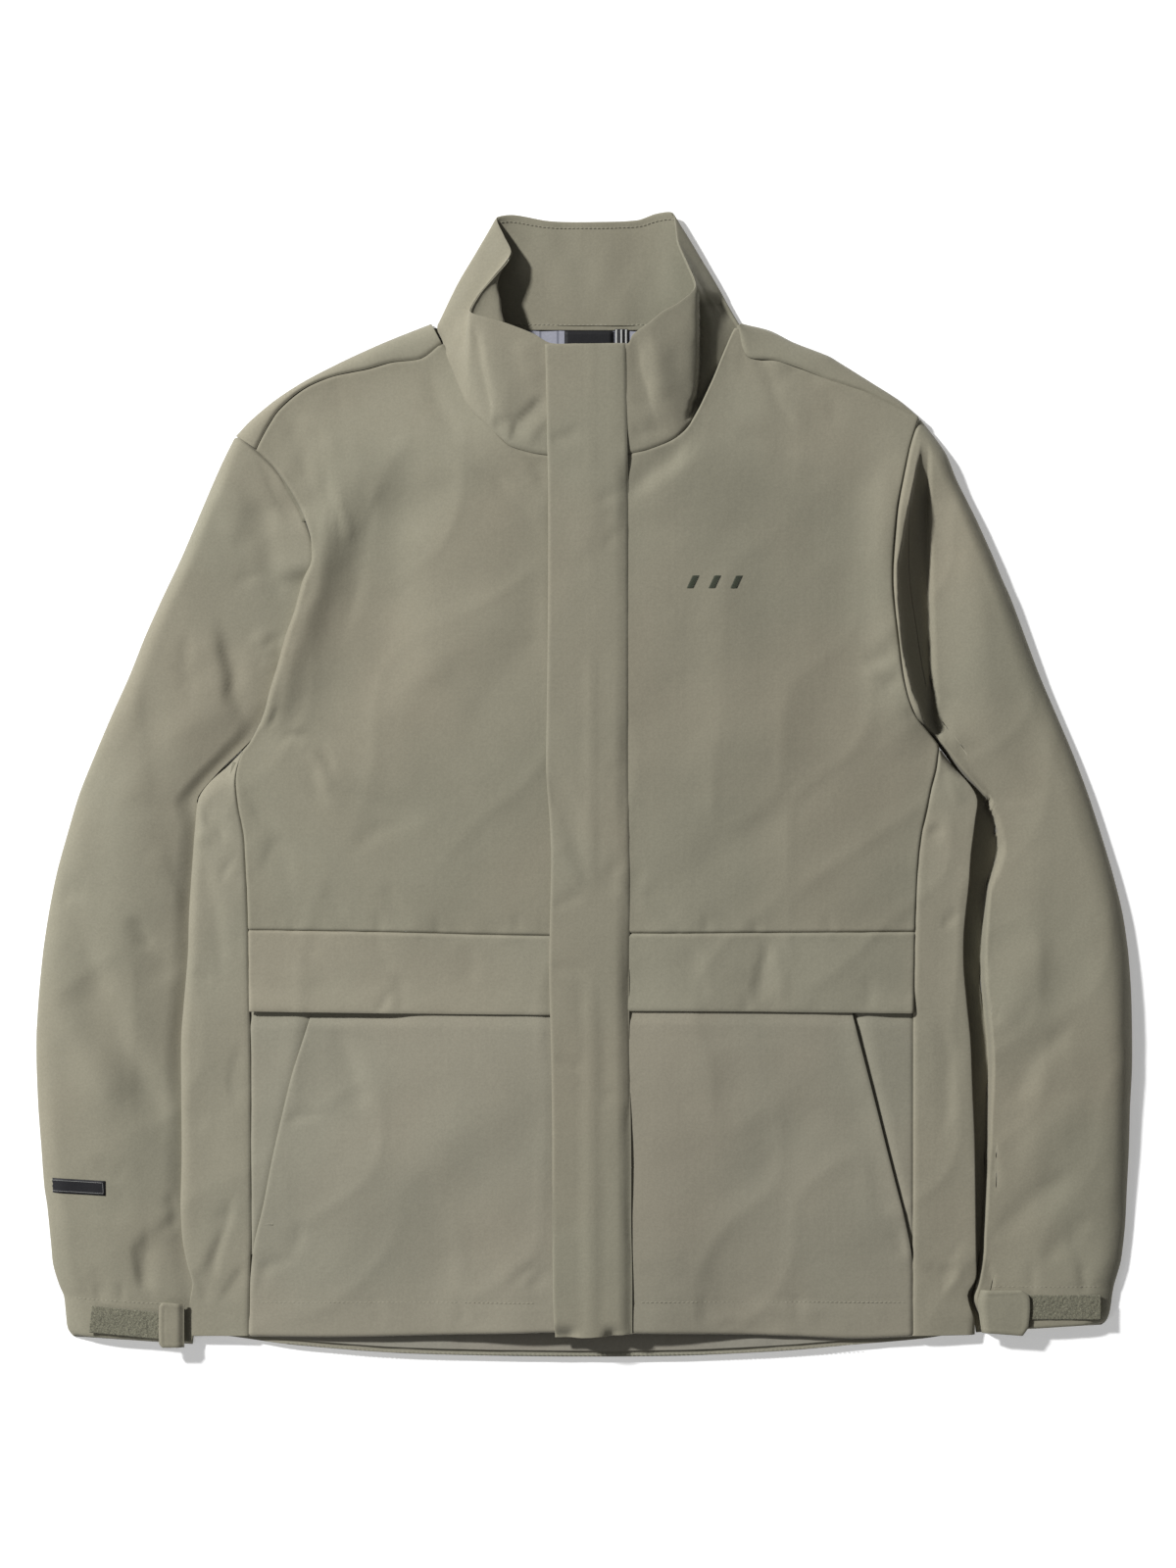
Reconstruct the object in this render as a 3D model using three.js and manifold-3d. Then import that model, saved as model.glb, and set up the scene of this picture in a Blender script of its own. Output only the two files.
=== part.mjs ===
// Hip-length shell jacket with a stand collar, laid flat on its back and zipped up.
// Units are millimetres, +Z is up out of the jacket's front, +Y points to the collar and +X to the
// wearer's left. The origin is the bottom centre of the bounding box.
//
// Every cloth panel is a thin closed sheet: a surface patch between four outline curves, given
// a height from the lie of the jacket and then a thickness. The outline curves are [x, y] pairs, in
// the plane that the jacket lies on, and they run from the hem to the collar, or from the side to the
// centre front.

import * as THREE from 'three';
import Module from 'manifold-3d';
import { mergeVertices } from 'three/addons/utils/BufferGeometryUtils.js';

// ---------------------------------------------------------------- driving dimensions
const CLOTH = 1.0;            // thickness of a shell panel with its backing
const LINING = 0.6;           // thickness of the lining
const SEAM_GAP = 0.75;        // how far a panel stops short of the seam line
const EDGE_Z = 1.7;           // height of the middle of the cloth at a folded edge
const FRONT_X = 4.9;          // the zip's centre line
const RIGHT_FRONT_X = -4.2;   // edge of the wearer's right front beside the zip
const LEFT_FRONT_X = 14.0;    // edge of the wearer's left front beside the zip
const HEM_Y = -390;           // level of the front hem
const HEM_FRONT_Z = 20;       // height of the centre front at the hem
const FRONT_RISE = 10 / 626;  // rise of the centre front towards the collar, for each mm of Y
const SIDE_Z = 15;            // height of the front at the side seams
const SHOULDER_Z = 10;        // height of the forward shoulder seam
const PLATEAU = 46;           // half width of the straight strip along the centre front
const YOKE_Y = 168;           // back yoke seam
const SLEEVE_Z = 16;          // height of the sleeve at the elbow
const CUFF_Z = 10.5;          // height of the sleeve at the cuff
const ZIP_BOTTOM_Y = -380;    // end of the zip at the hem
const ZIP_TOP_Y = 306;        // end of the zip at the top of the collar
const SLIDER_Y = 288;         // middle of the slider, zipped up
const SLIDER_LENGTH = 13;
const SLIDER_WIDTH = 11;
const PULL_LENGTH = 30;
const PULL_WIDTH = 8;
const FLAP_LIFT = 3.7;        // height of the storm flap's middle over the front
const PATCH_Y = [205, 20, -130, -290];  // middles of the storm flap's hook and loop patches
const PATCH_LENGTH = 45;
const PATCH_WIDTH = 16;

// ---------------------------------------------------------------- outline curves
const SIDE_SEAM_R = [[-238.7, -393.4], [-238, -355.6], [-237.3, -338.1], [-236.6, -322], [-236.6, -306.6], [-236.6, -264.6], [-236.6, -194.6], [-237.3, -159.6], [-238, -138.6], [-238.7, -102.2], [-239.4, -82.6], [-240.8, -54.6], [-242.2, -33.6], [-245.7, -16.1], [-247.8, 1.4], [-247.1, 11.9], [-243.6, 23.8]];
const EDGE_R = [[-279.3, -392], [-281.4, -380.1], [-280.7, -366.1], [-278.6, -354.2], [-282.1, -341.6], [-285.6, -324.1], [-287, -299.6], [-286.3, -264.6], [-286.3, -222.6], [-286.3, -180.6], [-284.2, -152.6], [-281.4, -117.6], [-280.7, -89.6], [-278.6, -54.6], [-276.5, -26.6], [-273.7, -7.7]];
const EDGE_R_TOP = [[-273.7, -7.7], [-259.7, 9.8], [-243.6, 25.2], [-233.8, 35]];
const FOLD_R = [[-233.8, 35], [-232.4, 39.9], [-226.8, 53.9], [-223.3, 67.9], [-217.7, 85.4], [-212.1, 106.4], [-205.8, 123.9], [-200.2, 144.9], [-194.6, 158.9], [-193.2, 174.3]];
const ARM_R = [[-193.2, 174.3], [-197.4, 188.3], [-203.7, 202.3], [-212.8, 217], [-221.2, 227.5], [-233.8, 239.4]];
const ARM_R_TIP = [[-233.8, 239.4], [-246.4, 249.2]];
const SHOULDER_R = [[-233.8, 239.4], [-229.6, 247.8], [-224.7, 256.9], [-217.7, 267.4], [-205.8, 278.6], [-193.2, 286.3], [-175.7, 292.6], [-154.7, 296.8], [-137.2, 301.7], [-116.2, 304.5], [-100.8, 315]];
const OUT_R = [[-248.5, 249.2], [-238, 260.4], [-221.2, 274.4], [-199.5, 288.4], [-172.9, 302.4], [-142.1, 316.4], [-108.5, 329.7]];
const NECK_R = [[-100.8, 315], [-96.6, 305.9], [-91, 291.9], [-84.7, 277.9], [-76.3, 266], [-67.2, 255.5], [-53.2, 240.8], [-39.2, 235.9], [-26.6, 233.8], [-4.2, 233.1]];
const SIDE_SEAM_L = [[233.8, -393.4], [233.8, -327.6], [233.8, -264.6], [233.8, -208.6], [233.8, -161.7], [234.5, -138.6], [235.2, -103.6], [236.6, -68.6], [238, -47.6], [240.1, -32.2], [243.6, -16.1], [246.4, -2.1], [249.9, 11.9], [252, 26.6]];
const EDGE_L = [[278.6, -391.3], [277.9, -380.1], [274.4, -369.6], [273, -361.2], [278.6, -350.7], [278.6, -334.6], [277.9, -292.6], [277.2, -250.6], [275.8, -215.6], [274.4, -180.6], [271.6, -152.6], [269.5, -128.1], [269.5, -107.1], [270.9, -89.6], [273, -68.6], [274.4, -47.6], [277.2, -25.2], [278.6, -7.7]];
const EDGE_L_TOP = [[278.6, -7.7], [265.3, 10.5], [252, 28]];
const ARM_L = [[252, 28], [244.3, 37.8], [235.9, 48.3], [230.3, 60.9], [226.8, 74.9], [224.7, 88.9], [222.6, 106.4], [220.5, 123.9], [219.1, 141.4], [219.1, 155.4], [220.5, 176.4], [222.6, 197.4], [226.8, 218.4], [232.4, 242.9], [238.7, 261.8]];
const SHOULDER_L = [[237.3, 261.8], [216.3, 273], [198.8, 281.4], [172.9, 289.8], [153.3, 297.5], [135.8, 303.1], [116.2, 305.9], [108.5, 327.6]];
const OUT_L = [[238.7, 262.5], [225.4, 274.4], [203.7, 288.4], [181.3, 302.4], [174.3, 306.6], [149.1, 316.4], [132.3, 324.8], [112, 329.7]];
const NECK_L = [[108.5, 327.6], [100.8, 312.9], [92.4, 291.9], [86.1, 277.9], [81.2, 267.4], [72.8, 253.4], [62.3, 245], [48.3, 239.4], [31.5, 235.2], [14, 233.8]];
const BAND_TOP_R = [[-238.7, -102.2], [-137.2, -103.6], [-81.2, -105], [-4.2, -106.4]];
const BAND_BOT_R = [[-236.6, -160.3], [-186.2, -161], [-116.2, -161.7], [-4.2, -162.4]];
const BAND_TOP_L = [[14, -104.3], [72.8, -104.3], [235.2, -103.6]];
const BAND_BOT_L = [[14, -159.6], [72.8, -159.6], [233.8, -161.7]];
const POCKET_R = [[-193.9, -162.4], [-207.2, -205.1], [-214.9, -236.6], [-221.2, -264.6], [-228.2, -299.6], [-233.8, -322], [-235.9, -334.6]];
const POCKET_L = [[190.4, -161.7], [198.8, -194.6], [207.9, -229.6], [214.9, -257.6], [221.2, -282.1], [227.5, -306.6], [233.1, -334.6]];
const HEM_R = [[-277.9, -392], [-266.7, -393.4], [-238.7, -393.4], [-179.2, -392], [-116.2, -390.6], [-25.2, -387.8], [-4.2, -387.8]];
const HEM_L = [[14, -388.5], [34.3, -388.5], [72.8, -389.2], [142.8, -391.3], [191.8, -393.4], [233.8, -394.1], [254.8, -393.4], [278.6, -391.3]];
const BACK_HEM = [[-252, -393.4], [-207.2, -399], [-137.2, -404.6], [-67.2, -406.7], [2.8, -407.4], [72.8, -406.7], [142.8, -403.2], [198.8, -398.3], [242.2, -394.8]];
const FLAP_FREE = [[-20.3, -391.3], [-21.7, -369.6], [-22.4, -313.6], [-22.4, -243.6], [-23.1, -192.5], [-24.5, -138.6], [-24.5, -124.6], [-23.8, -86.8], [-23.1, -47.6], [-24.5, -19.6], [-26.6, 7], [-25.9, 71.4], [-25.2, 141.4], [-25.2, 211.4], [-25.9, 242.9], [-26.6, 281.4], [-27.3, 311.5]];
const FLAP_ROOT = [[34.3, -388.5], [34.3, -348.6], [33.6, -313.6], [33.6, -264.6], [32.9, -222.6], [32.2, -180.6], [32.2, -138.6], [32.2, -110.6], [32.9, -68.6], [32.2, -33.6], [31.5, 1.4], [31.5, 71.4], [31.5, 141.4], [31.5, 197.4], [30.8, 232.4], [30.1, 267.4], [29.4, 312.2]];
const SLV_OUT_R = [[-248.5, 249.2], [-256.9, 232.4], [-263.2, 218.4], [-275.1, 190.4], [-287, 162.4], [-300.3, 134.4], [-312.9, 106.4], [-324.1, 78.4], [-336.7, 50.4], [-348.6, 22.4], [-359.8, -5.6], [-368.2, -33.6], [-375.9, -61.6], [-381.5, -89.6], [-385.7, -117.6], [-388.5, -145.6], [-390.4, -173.6], [-390.6, -187.6], [-390.4, -201.6], [-389.2, -229.6], [-387.1, -257.6], [-385, -285.6], [-382.9, -299.6], [-380.1, -327.6], [-378.7, -341.6], [-374.5, -355.6], [-371, -364], [-369.6, -376.6], [-368.2, -387.1], [-364.7, -391.3]];
const SLV_IN_R = [[-275.1, -9.8], [-277.9, -26.6], [-280, -54.6], [-282.1, -89.6], [-282.8, -117.6], [-285.6, -152.6], [-287.7, -180.6], [-287.7, -222.6], [-287.7, -264.6], [-288.4, -299.6], [-287, -324.1], [-284.2, -341.6], [-282.8, -355.6], [-282.8, -369.6], [-282.8, -396.9]];
const CUFF_R = [[-364.7, -391.3], [-347.2, -392.7], [-303.1, -396.2], [-282.8, -396.9]];
const SLV_OUT_L = [[238.7, 262.5], [244.3, 255.5], [251.3, 246.4], [258.3, 235.9], [265.3, 218.4], [272.3, 204.4], [279.3, 190.4], [285.6, 176.4], [291.9, 162.4], [297.5, 148.4], [303.8, 134.4], [314.3, 106.4], [324.8, 78.4], [336.7, 50.4], [348.6, 22.4], [359.1, -5.6], [368.2, -33.6], [376.6, -61.6], [383.6, -89.6], [387.8, -117.6], [389.9, -145.6], [390.6, -173.6], [390.6, -201.6], [389.2, -229.6], [388.5, -257.6], [387.1, -285.6], [385.7, -313.6], [382.9, -338.1], [380.1, -348.6], [378, -355.6], [376.6, -362.6], [375.2, -373.1], [373.1, -380.1], [369.6, -382.9]];
const SLV_IN_L = [[280.7, -10.5], [284.9, -16.1], [291.2, -26.6], [295.4, -39.2], [296.8, -44.8], [295.4, -54.6], [289.8, -68.6], [285.6, -82.6], [284.2, -96.6], [282.8, -110.6], [284.2, -124.6], [285.6, -136.5], [289.8, -142.1], [291.2, -156.1], [288.4, -173.6], [286.3, -194.6], [288.4, -215.6], [289.8, -233.1], [287, -250.6], [283.5, -271.6], [285.6, -289.1], [284.9, -306.6], [282.8, -320.6], [283.5, -334.6], [282.8, -356.3], [280, -366.1], [282.1, -380.1], [283.5, -388.5]];
const CUFF_L = [[369.6, -382.9], [338.8, -383.6], [315, -383.6], [283.5, -384.3]];
const LOOP_R = [[-352.1, -388.5], [-350, -369.6], [-301.7, -374.5], [-303.1, -393.4]];
const TAB_R = [[-299.6, -399], [-301.7, -396.2], [-301.7, -369.6], [-299.6, -366.8], [-284.2, -368.2], [-284.2, -399]];
const LOOP_L = [[317.8, -379.4], [317.8, -361.9], [367.5, -361.9], [367.5, -379.4]];
const TAB_L = [[282.8, -388.5], [281.4, -380.1], [280, -366.1], [282.1, -358.4], [310.8, -358.4], [316.4, -363.3], [315.7, -383.6], [311.5, -390.6]];
const LABEL_R = [[-384.3, -289.1], [-385, -278.6], [-340.2, -280.7], [-340.2, -291.2]];
const STITCH_HEM_R = [[-278.6, -366.8], [-238.7, -367.5], [-137.2, -366.8], [-25.2, -366.8]];
const STITCH_HEM_L = [[34.3, -366.1], [142.8, -366.8], [233.8, -367.5], [274.4, -367.5]];
const STITCH_CUFF_R = [[-371, -364], [-340.2, -366.1], [-305.2, -368.2], [-284.2, -368.2]];
const STITCH_CUFF_L = [[282.8, -356.3], [324.8, -356.3], [378, -356.3]];

// ---------------------------------------------------------------- geometry helpers

const lerp = (a, b, t) => a + (b - a) * t;
const clamp = (v, lo, hi) => Math.min(hi, Math.max(lo, v));
const smooth = (t) => { const c = clamp(t, 0, 1); return c * c * (3 - 2 * c); };

// a polyline of [x, y] or [x, y, z] points, read at a fraction of its length
function rail(points) {
  const reach = [0];
  for (let i = 1; i < points.length; i++) {
    const a = points[i - 1], b = points[i];
    reach.push(reach[i - 1] + Math.hypot(b[0] - a[0], b[1] - a[1], (b[2] ?? 0) - (a[2] ?? 0)));
  }
  const total = reach[reach.length - 1];
  return (t) => {
    const want = clamp(t, 0, 1) * total;
    let i = 1;
    while (i < points.length - 1 && reach[i] < want) i++;
    const f = (want - reach[i - 1]) / (reach[i] - reach[i - 1]);
    return points[i].map((v, k) => lerp(points[i - 1][k], v, f));
  };
}

// X of a curve that climbs in Y
function xAt(points, y) {
  if (y <= points[0][1]) return points[0][0];
  for (let i = 1; i < points.length; i++) {
    if (y <= points[i][1]) {
      const a = points[i - 1], b = points[i];
      return lerp(a[0], b[0], (y - a[1]) / Math.max(1e-6, b[1] - a[1]));
    }
  }
  return points[points.length - 1][0];
}

// the stretch of a climbing curve between two levels
function between(points, low, high) {
  const out = [[xAt(points, low), low]];
  for (const p of points) if (p[1] > low + 0.5 && p[1] < high - 0.5) out.push(p);
  out.push([xAt(points, high), high]);
  return out;
}

function distanceTo(points, x, y) {
  let best = Infinity;
  for (let i = 1; i < points.length; i++) {
    const [ax, ay] = points[i - 1], [bx, by] = points[i];
    const t = clamp(((x - ax) * (bx - ax) + (y - ay) * (by - ay)) / ((bx - ax) ** 2 + (by - ay) ** 2), 0, 1);
    best = Math.min(best, Math.hypot(x - lerp(ax, bx, t), y - lerp(ay, by, t)));
  }
  return best;
}

// patch between four rails: rows run from the bottom rail to the top rail
function patch(bottom, top, left, right, across, along) {
  const B = rail(bottom), T = rail(top), L = rail(left), R = rail(right);
  const b0 = B(0), b1 = B(1), t0 = T(0), t1 = T(1);
  const grid = [];
  for (let j = 0; j <= along; j++) {
    const v = j / along, row = [];
    for (let i = 0; i <= across; i++) {
      const u = i / across, b = B(u), t = T(u), l = L(v), r = R(v);
      row.push(b.map((_, k) => (1 - v) * b[k] + v * t[k] + (1 - u) * l[k] + u * r[k]
        - ((1 - u) * (1 - v) * b0[k] + u * (1 - v) * b1[k] + (1 - u) * v * t0[k] + u * v * t1[k])));
    }
    grid.push(row);
  }
  return grid;
}

// pull the four borders of a patch in along its own lines: [bottom, top, left, right]
function inset(grid, by = [SEAM_GAP, SEAM_GAP, SEAM_GAP, SEAM_GAP]) {
  const pull = (p, q, d) => {
    const n = Math.hypot(q[0] - p[0], q[1] - p[1], (q[2] ?? 0) - (p[2] ?? 0));
    return p.map((v, k) => v + (q[k] - v) * Math.min(0.6, d / n));
  };
  const last = grid.length - 1, end = grid[0].length - 1;
  for (let i = 0; i <= end; i++) {
    grid[0][i] = pull(grid[0][i], grid[1][i], by[0]);
    grid[last][i] = pull(grid[last][i], grid[last - 1][i], by[1]);
  }
  for (const row of grid) {
    row[0] = pull(row[0], row[1], by[2]);
    row[end] = pull(row[end], row[end - 1], by[3]);
  }
  return grid;
}

const lift = (grid, height) => grid.map((row) => row.map((p) => [p[0], p[1], height(p[0], p[1])]));

// closed solid between two offsets of a patch, measured along the patch's own normals
function sheet(grid, low, high) {
  const rows = grid.length, cols = grid[0].length;
  const P = grid.map((row) => row.map((p) => new THREE.Vector3(...p)));
  const at = (i, j) => P[clamp(j, 0, rows - 1)][clamp(i, 0, cols - 1)];
  const under = [], over = [];
  for (let j = 0; j < rows; j++) {
    for (let i = 0; i < cols; i++) {
      const du = at(i + 1, j).clone().sub(at(i - 1, j));
      const dv = at(i, j + 1).clone().sub(at(i, j - 1));
      const n = du.cross(dv).normalize();
      under.push(P[j][i].clone().addScaledVector(n, low));
      over.push(P[j][i].clone().addScaledVector(n, high));
    }
  }
  const index = [], k = rows * cols, id = (i, j) => j * cols + i;
  const quad = (a, b, c, d) => index.push(a, b, c, a, c, d);
  for (let j = 0; j < rows - 1; j++) {
    for (let i = 0; i < cols - 1; i++) {
      const a = id(i, j), b = id(i + 1, j), c = id(i + 1, j + 1), d = id(i, j + 1);
      quad(a + k, b + k, c + k, d + k);
      quad(a, d, c, b);
    }
  }
  for (let i = 0; i < cols - 1; i++) {
    quad(id(i, 0), id(i + 1, 0), id(i + 1, 0) + k, id(i, 0) + k);
    quad(id(i + 1, rows - 1), id(i, rows - 1), id(i, rows - 1) + k, id(i + 1, rows - 1) + k);
  }
  for (let j = 0; j < rows - 1; j++) {
    quad(id(0, j + 1), id(0, j), id(0, j) + k, id(0, j + 1) + k);
    quad(id(cols - 1, j), id(cols - 1, j + 1), id(cols - 1, j + 1) + k, id(cols - 1, j) + k);
  }
  return solid(under.concat(over), index);
}

// closed solid of a patch whose height runs between two values at every point
function slab(grid, low, high) {
  return sheet(grid.map((row) => row.map((p) => [p[0], p[1], 0])), low, high);
}

function solid(points, index) {
  const geometry = new THREE.BufferGeometry();
  geometry.setAttribute('position', new THREE.Float32BufferAttribute(points.flatMap((p) => [p.x, p.y, p.z]), 3));
  geometry.setIndex(index);
  geometry.computeVertexNormals();
  return geometry;
}

// ---------------------------------------------------------------- how the front lies

const zip = (y) => HEM_FRONT_Z + (y - HEM_Y) * FRONT_RISE;   // height of the centre front

const SIDE_R = SIDE_SEAM_R.concat(FOLD_R, ARM_R.slice(1));
const SIDE_L = SIDE_SEAM_L.concat(ARM_L.slice(1));
SIDE_R.sort((a, b) => a[1] - b[1]);
SIDE_L.sort((a, b) => a[1] - b[1]);

// middle of the cloth of the front panels
function front(x, y) {
  const side = x < FRONT_X ? SIDE_R : SIDE_L;
  const shoulder = x < FRONT_X ? SHOULDER_R : SHOULDER_L;
  const half = Math.abs(xAt(side, y) - FRONT_X);
  const t = clamp((Math.abs(x - FRONT_X) - PLATEAU) / (half - PLATEAU), 0, 1);
  const flat = lerp(zip(y), SIDE_Z, t ** 1.4);
  return lerp(SHOULDER_Z, flat, smooth(distanceTo(shoulder, x, y) / 90));
}

// the front lining hangs below it, lower where the pockets are
const frontLining = (x, y) => front(x, y) - lerp(9.2, 3.2, smooth((y + 158) / 60));

// ---------------------------------------------------------------- the jacket

const jacket = new THREE.Group();
jacket.name = 'jacket';
const SHADES = {
  shell: [0x8f8c7c, 0.86], hem: [0x918d81, 0.88], inner: [0x7d7a69, 0.9], pocket: [0x979487, 0.88],
  lining: [0x91929a, 0.72], loop: [0x7b7867, 0.96], black: [0x17171a, 0.8], tape: [0x6f6c5d, 0.85],
  metal: [0x8d8d88, 0.4],
};
function add(name, geometry, shade, parent = jacket) {
  const [color, roughness] = SHADES[shade];
  const material = new THREE.MeshStandardMaterial({ color, roughness, metalness: shade === 'metal' ? 0.9 : 0 });
  const mesh = new THREE.Mesh(geometry, material);
  mesh.name = name;
  parent.add(mesh);
  return mesh;
}
const half = CLOTH / 2;
const reversed = (points) => points.slice().reverse();

// front panels ------------------------------------------------------------
const sides = [
  { name: 'right', edge: RIGHT_FRONT_X, seam: SIDE_SEAM_R, fold: EDGE_R, armpit: EDGE_R_TOP,
    upper: between(SIDE_SEAM_R, -102.5, 22).concat([[-238.5, 29]], FOLD_R.slice(1), ARM_R.slice(1)),
    shoulder: SHOULDER_R, neck: NECK_R, bandTop: BAND_TOP_R, bandLow: BAND_BOT_R, pocket: POCKET_R, hem: HEM_R },
  { name: 'left', edge: LEFT_FRONT_X, seam: SIDE_SEAM_L, fold: EDGE_L, armpit: EDGE_L_TOP,
    upper: between(SIDE_SEAM_L, -103.6, 26).concat(ARM_L),
    shoulder: SHOULDER_L, neck: NECK_L, bandTop: reversed(BAND_TOP_L), bandLow: reversed(BAND_BOT_L), pocket: POCKET_L, hem: reversed(HEM_L) },
];
for (const s of sides) {
  const flip = s.name === 'left';
  // outlines below are written from the side to the centre front; a left panel is mirrored by
  // swapping its left and right rails, so that its outside stays up
  const panel = (low, high, outer, inner, across, along, gaps) => (flip
    ? inset(patch(reversed(low), reversed(high), inner, outer, across, along), gaps && [gaps[0], gaps[1], gaps[3], gaps[2]])
    : inset(patch(low, high, outer, inner, across, along), gaps));
  const edge = (low, high) => [[s.edge, low], [s.edge, high]];

  const neckEnd = s.neck[s.neck.length - 1];
  const chestTop = s.shoulder.concat(s.neck.slice(1));
  const topEdge = edge(s.bandTop[s.bandTop.length - 1][1], neckEnd[1]);
  add(`front_${s.name}_chest`, sheet(lift(panel(s.bandTop, chestTop, s.upper, topEdge, 9, 9), front), -half, half), 'shell');

  const bandSide = between(s.seam, s.bandLow[0][1], s.bandTop[0][1]);
  add(`front_${s.name}_band`, sheet(lift(panel(s.bandLow, s.bandTop, bandSide,
    edge(s.bandLow[s.bandLow.length - 1][1], topEdge[0][1]), 8, 2), front), -half, half), 'shell');

  // lower panel: its outer edge is the slanted pocket mouth, then the side seam
  const start = s.pocket[0], foot = s.pocket[s.pocket.length - 1];
  const lowTop = rail(s.bandLow);
  const bandFrom = [start];
  for (let i = 1; i <= 6; i++) { const p = lowTop(0.25 + 0.75 * i / 6); if (Math.abs(p[0]) < Math.abs(start[0]) - 5) bandFrom.push(p); }
  const seamFoot = [xAt(s.seam, -392), -392];
  const hemFrom = [seamFoot].concat(s.hem.filter((p) => Math.abs(p[0]) < Math.abs(seamFoot[0]) - 4));
  add(`front_${s.name}_lower`, sheet(lift(panel(hemFrom, bandFrom, [seamFoot, [xAt(s.seam, -360), -360], foot].concat(reversed(s.pocket).slice(1)),
    edge(hemFrom[hemFrom.length - 1][1], bandFrom[bandFrom.length - 1][1]), 7, 6), front), -half, half), 'shell');

  // pocket facing: from the side seam down under the slanted mouth
  const sign = flip ? 1 : -1;
  const depth = (x, y) => {
    const mouth = xAt(reversed(s.pocket), y), seam = xAt(s.seam, y);
    const into = (Math.abs(seam) - Math.abs(x)) / Math.max(9, Math.abs(seam) - Math.abs(mouth));
    return front(x, y) - 6.4 * smooth(into * 1.1);
  };
  const faceTop = [[xAt(s.seam, start[1] - 0.8), start[1] - 0.8], [start[0] - sign * 4, start[1] - 0.8]];
  const faceLow = [[xAt(s.seam, foot[1] + 14), foot[1] + 14], [foot[0] - sign * 9, foot[1] + 14]];
  const faceIn = [faceLow[1], [xAt(reversed(s.pocket), -285) - sign * 6, -285], [xAt(reversed(s.pocket), -235) - sign * 5, -235], faceTop[1]];
  add(`pocket_facing_${s.name}`, sheet(lift(panel(faceLow, faceTop, between(s.seam, foot[1] + 14, start[1] - 0.8), faceIn, 5, 5), depth), -0.4, 0.4), 'shell');

  // pocket bag behind it
  const bagIn = start[0] - sign * 92;
  const bagLow = [[faceLow[1][0] - sign * 1.5, -343], [bagIn - sign * 10, -350]];
  const bagTop = [[start[0] - sign * 5.5, start[1] - 4], [bagIn, start[1] - 4]];
  add(`pocket_bag_${s.name}`, sheet(lift(panel(bagLow, bagTop, [bagLow[0], [faceLow[1][0] - sign * 1.5, foot[1] + 14], [faceIn[1][0] - sign * 1.5, -285], [faceIn[2][0] - sign * 1.5, -235], bagTop[0]],
    [bagLow[1], bagTop[1]], 4, 5), (x, y) => front(x, y) - 6.6), -0.3, 0.3), 'pocket');

  // side panel: rolls down from the side seam to the folded edge
  const top = s.seam[s.seam.length - 1][1] - 1;
  const outer = s.fold.concat(s.armpit.slice(1));
  const seamUp = between(s.seam, -392, top);
  const grid = [];
  const E = rail(outer.map((p) => p)), S = rail(seamUp);
  for (let j = 0; j <= 12; j++) {
    const v = j / 12, e = E(v * 0.985), m = S(v), row = [];
    for (let i = 0; i <= 5; i++) {
      const u = i / 5, across = 1 - Math.cos(u * Math.PI / 2);
      row.push([lerp(e[0], m[0], across), lerp(e[1], m[1], across), lerp(EDGE_Z, front(m[0], m[1]), Math.sin(u * Math.PI / 2))]);
    }
    grid.push(flip ? row.reverse() : row);
  }
  const g = SEAM_GAP;
  inset(grid, flip ? [0, 1.5, g, 0] : [0, 1.5, 0, g]);
  add(`side_panel_${s.name}`, sheet(grid, -half, half), 'shell');

  // front lining
  const liningIn = flip ? LEFT_FRONT_X + 6.5 : RIGHT_FRONT_X - 6.5;
  const lowY = -378, neckIn = Math.abs(s.neck[s.neck.length - 2][0]) > 20 ? s.neck[s.neck.length - 2] : s.neck[s.neck.length - 3];
  const pullIn = (p, d) => [p[0] - sign * d, p[1]];
  const liningSide = between(s.seam, lowY, top).map((p) => pullIn(p, 3)).concat(s.upper.filter((p) => p[1] > top + 8).map((p) => pullIn(p, 4)));
  const tipIn = liningSide[liningSide.length - 1];
  const liningTop = [tipIn].concat(s.shoulder.slice(2).map((p) => [p[0], p[1] - 5]), s.neck.slice(2, -1).map((p) => [p[0] + sign * 3, p[1] - 4]), [[liningIn, neckEnd[1] - 4]]);
  add(`lining_front_${s.name}`, sheet(lift(panel([[liningSide[0][0], lowY], [liningIn, lowY]], liningTop, liningSide,
    [[liningIn, lowY], [liningIn, neckEnd[1] - 4]], 7, 9), frontLining), -LINING / 2, LINING / 2), 'lining');
}

// back, flat on the surface it lies on -------------------------------------
const backLeft = EDGE_R.slice(1).concat(EDGE_R_TOP.slice(1), between(FOLD_R.slice(1), FOLD_R[1][1], YOKE_Y - 0.5).slice(1));
const backRight = EDGE_L.slice(1).concat(EDGE_L_TOP.slice(1), between(ARM_L, ARM_L[1][1], YOKE_Y - 0.5));
const backLow = [EDGE_R[1]].concat([[-277, -389], [-262, -392.5]], BACK_HEM, [[258, -392.5], [273, -389]], [EDGE_L[1]]);
add('back_panel', slab(inset(patch(backLow, [backLeft[backLeft.length - 1], [0, YOKE_Y - 0.5], backRight[backRight.length - 1]],
  backLeft, backRight, 12, 12), [0, SEAM_GAP, 0.3, 0.3]), 0, CLOTH), 'shell');

const hemTop = HEM_Y + 12;
add('back_hem_facing', slab(inset(patch(BACK_HEM.map((p) => [p[0], p[1] + 1.2]), [[-250, hemTop], [0, hemTop], [242, hemTop]],
  [[-252, -392.2], [-250, hemTop]], [[242.2, -393.6], [242, hemTop]], 9, 1), [0, 0, 8, 8]), CLOTH + 0.3, CLOTH + 0.9), 'hem');

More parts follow.
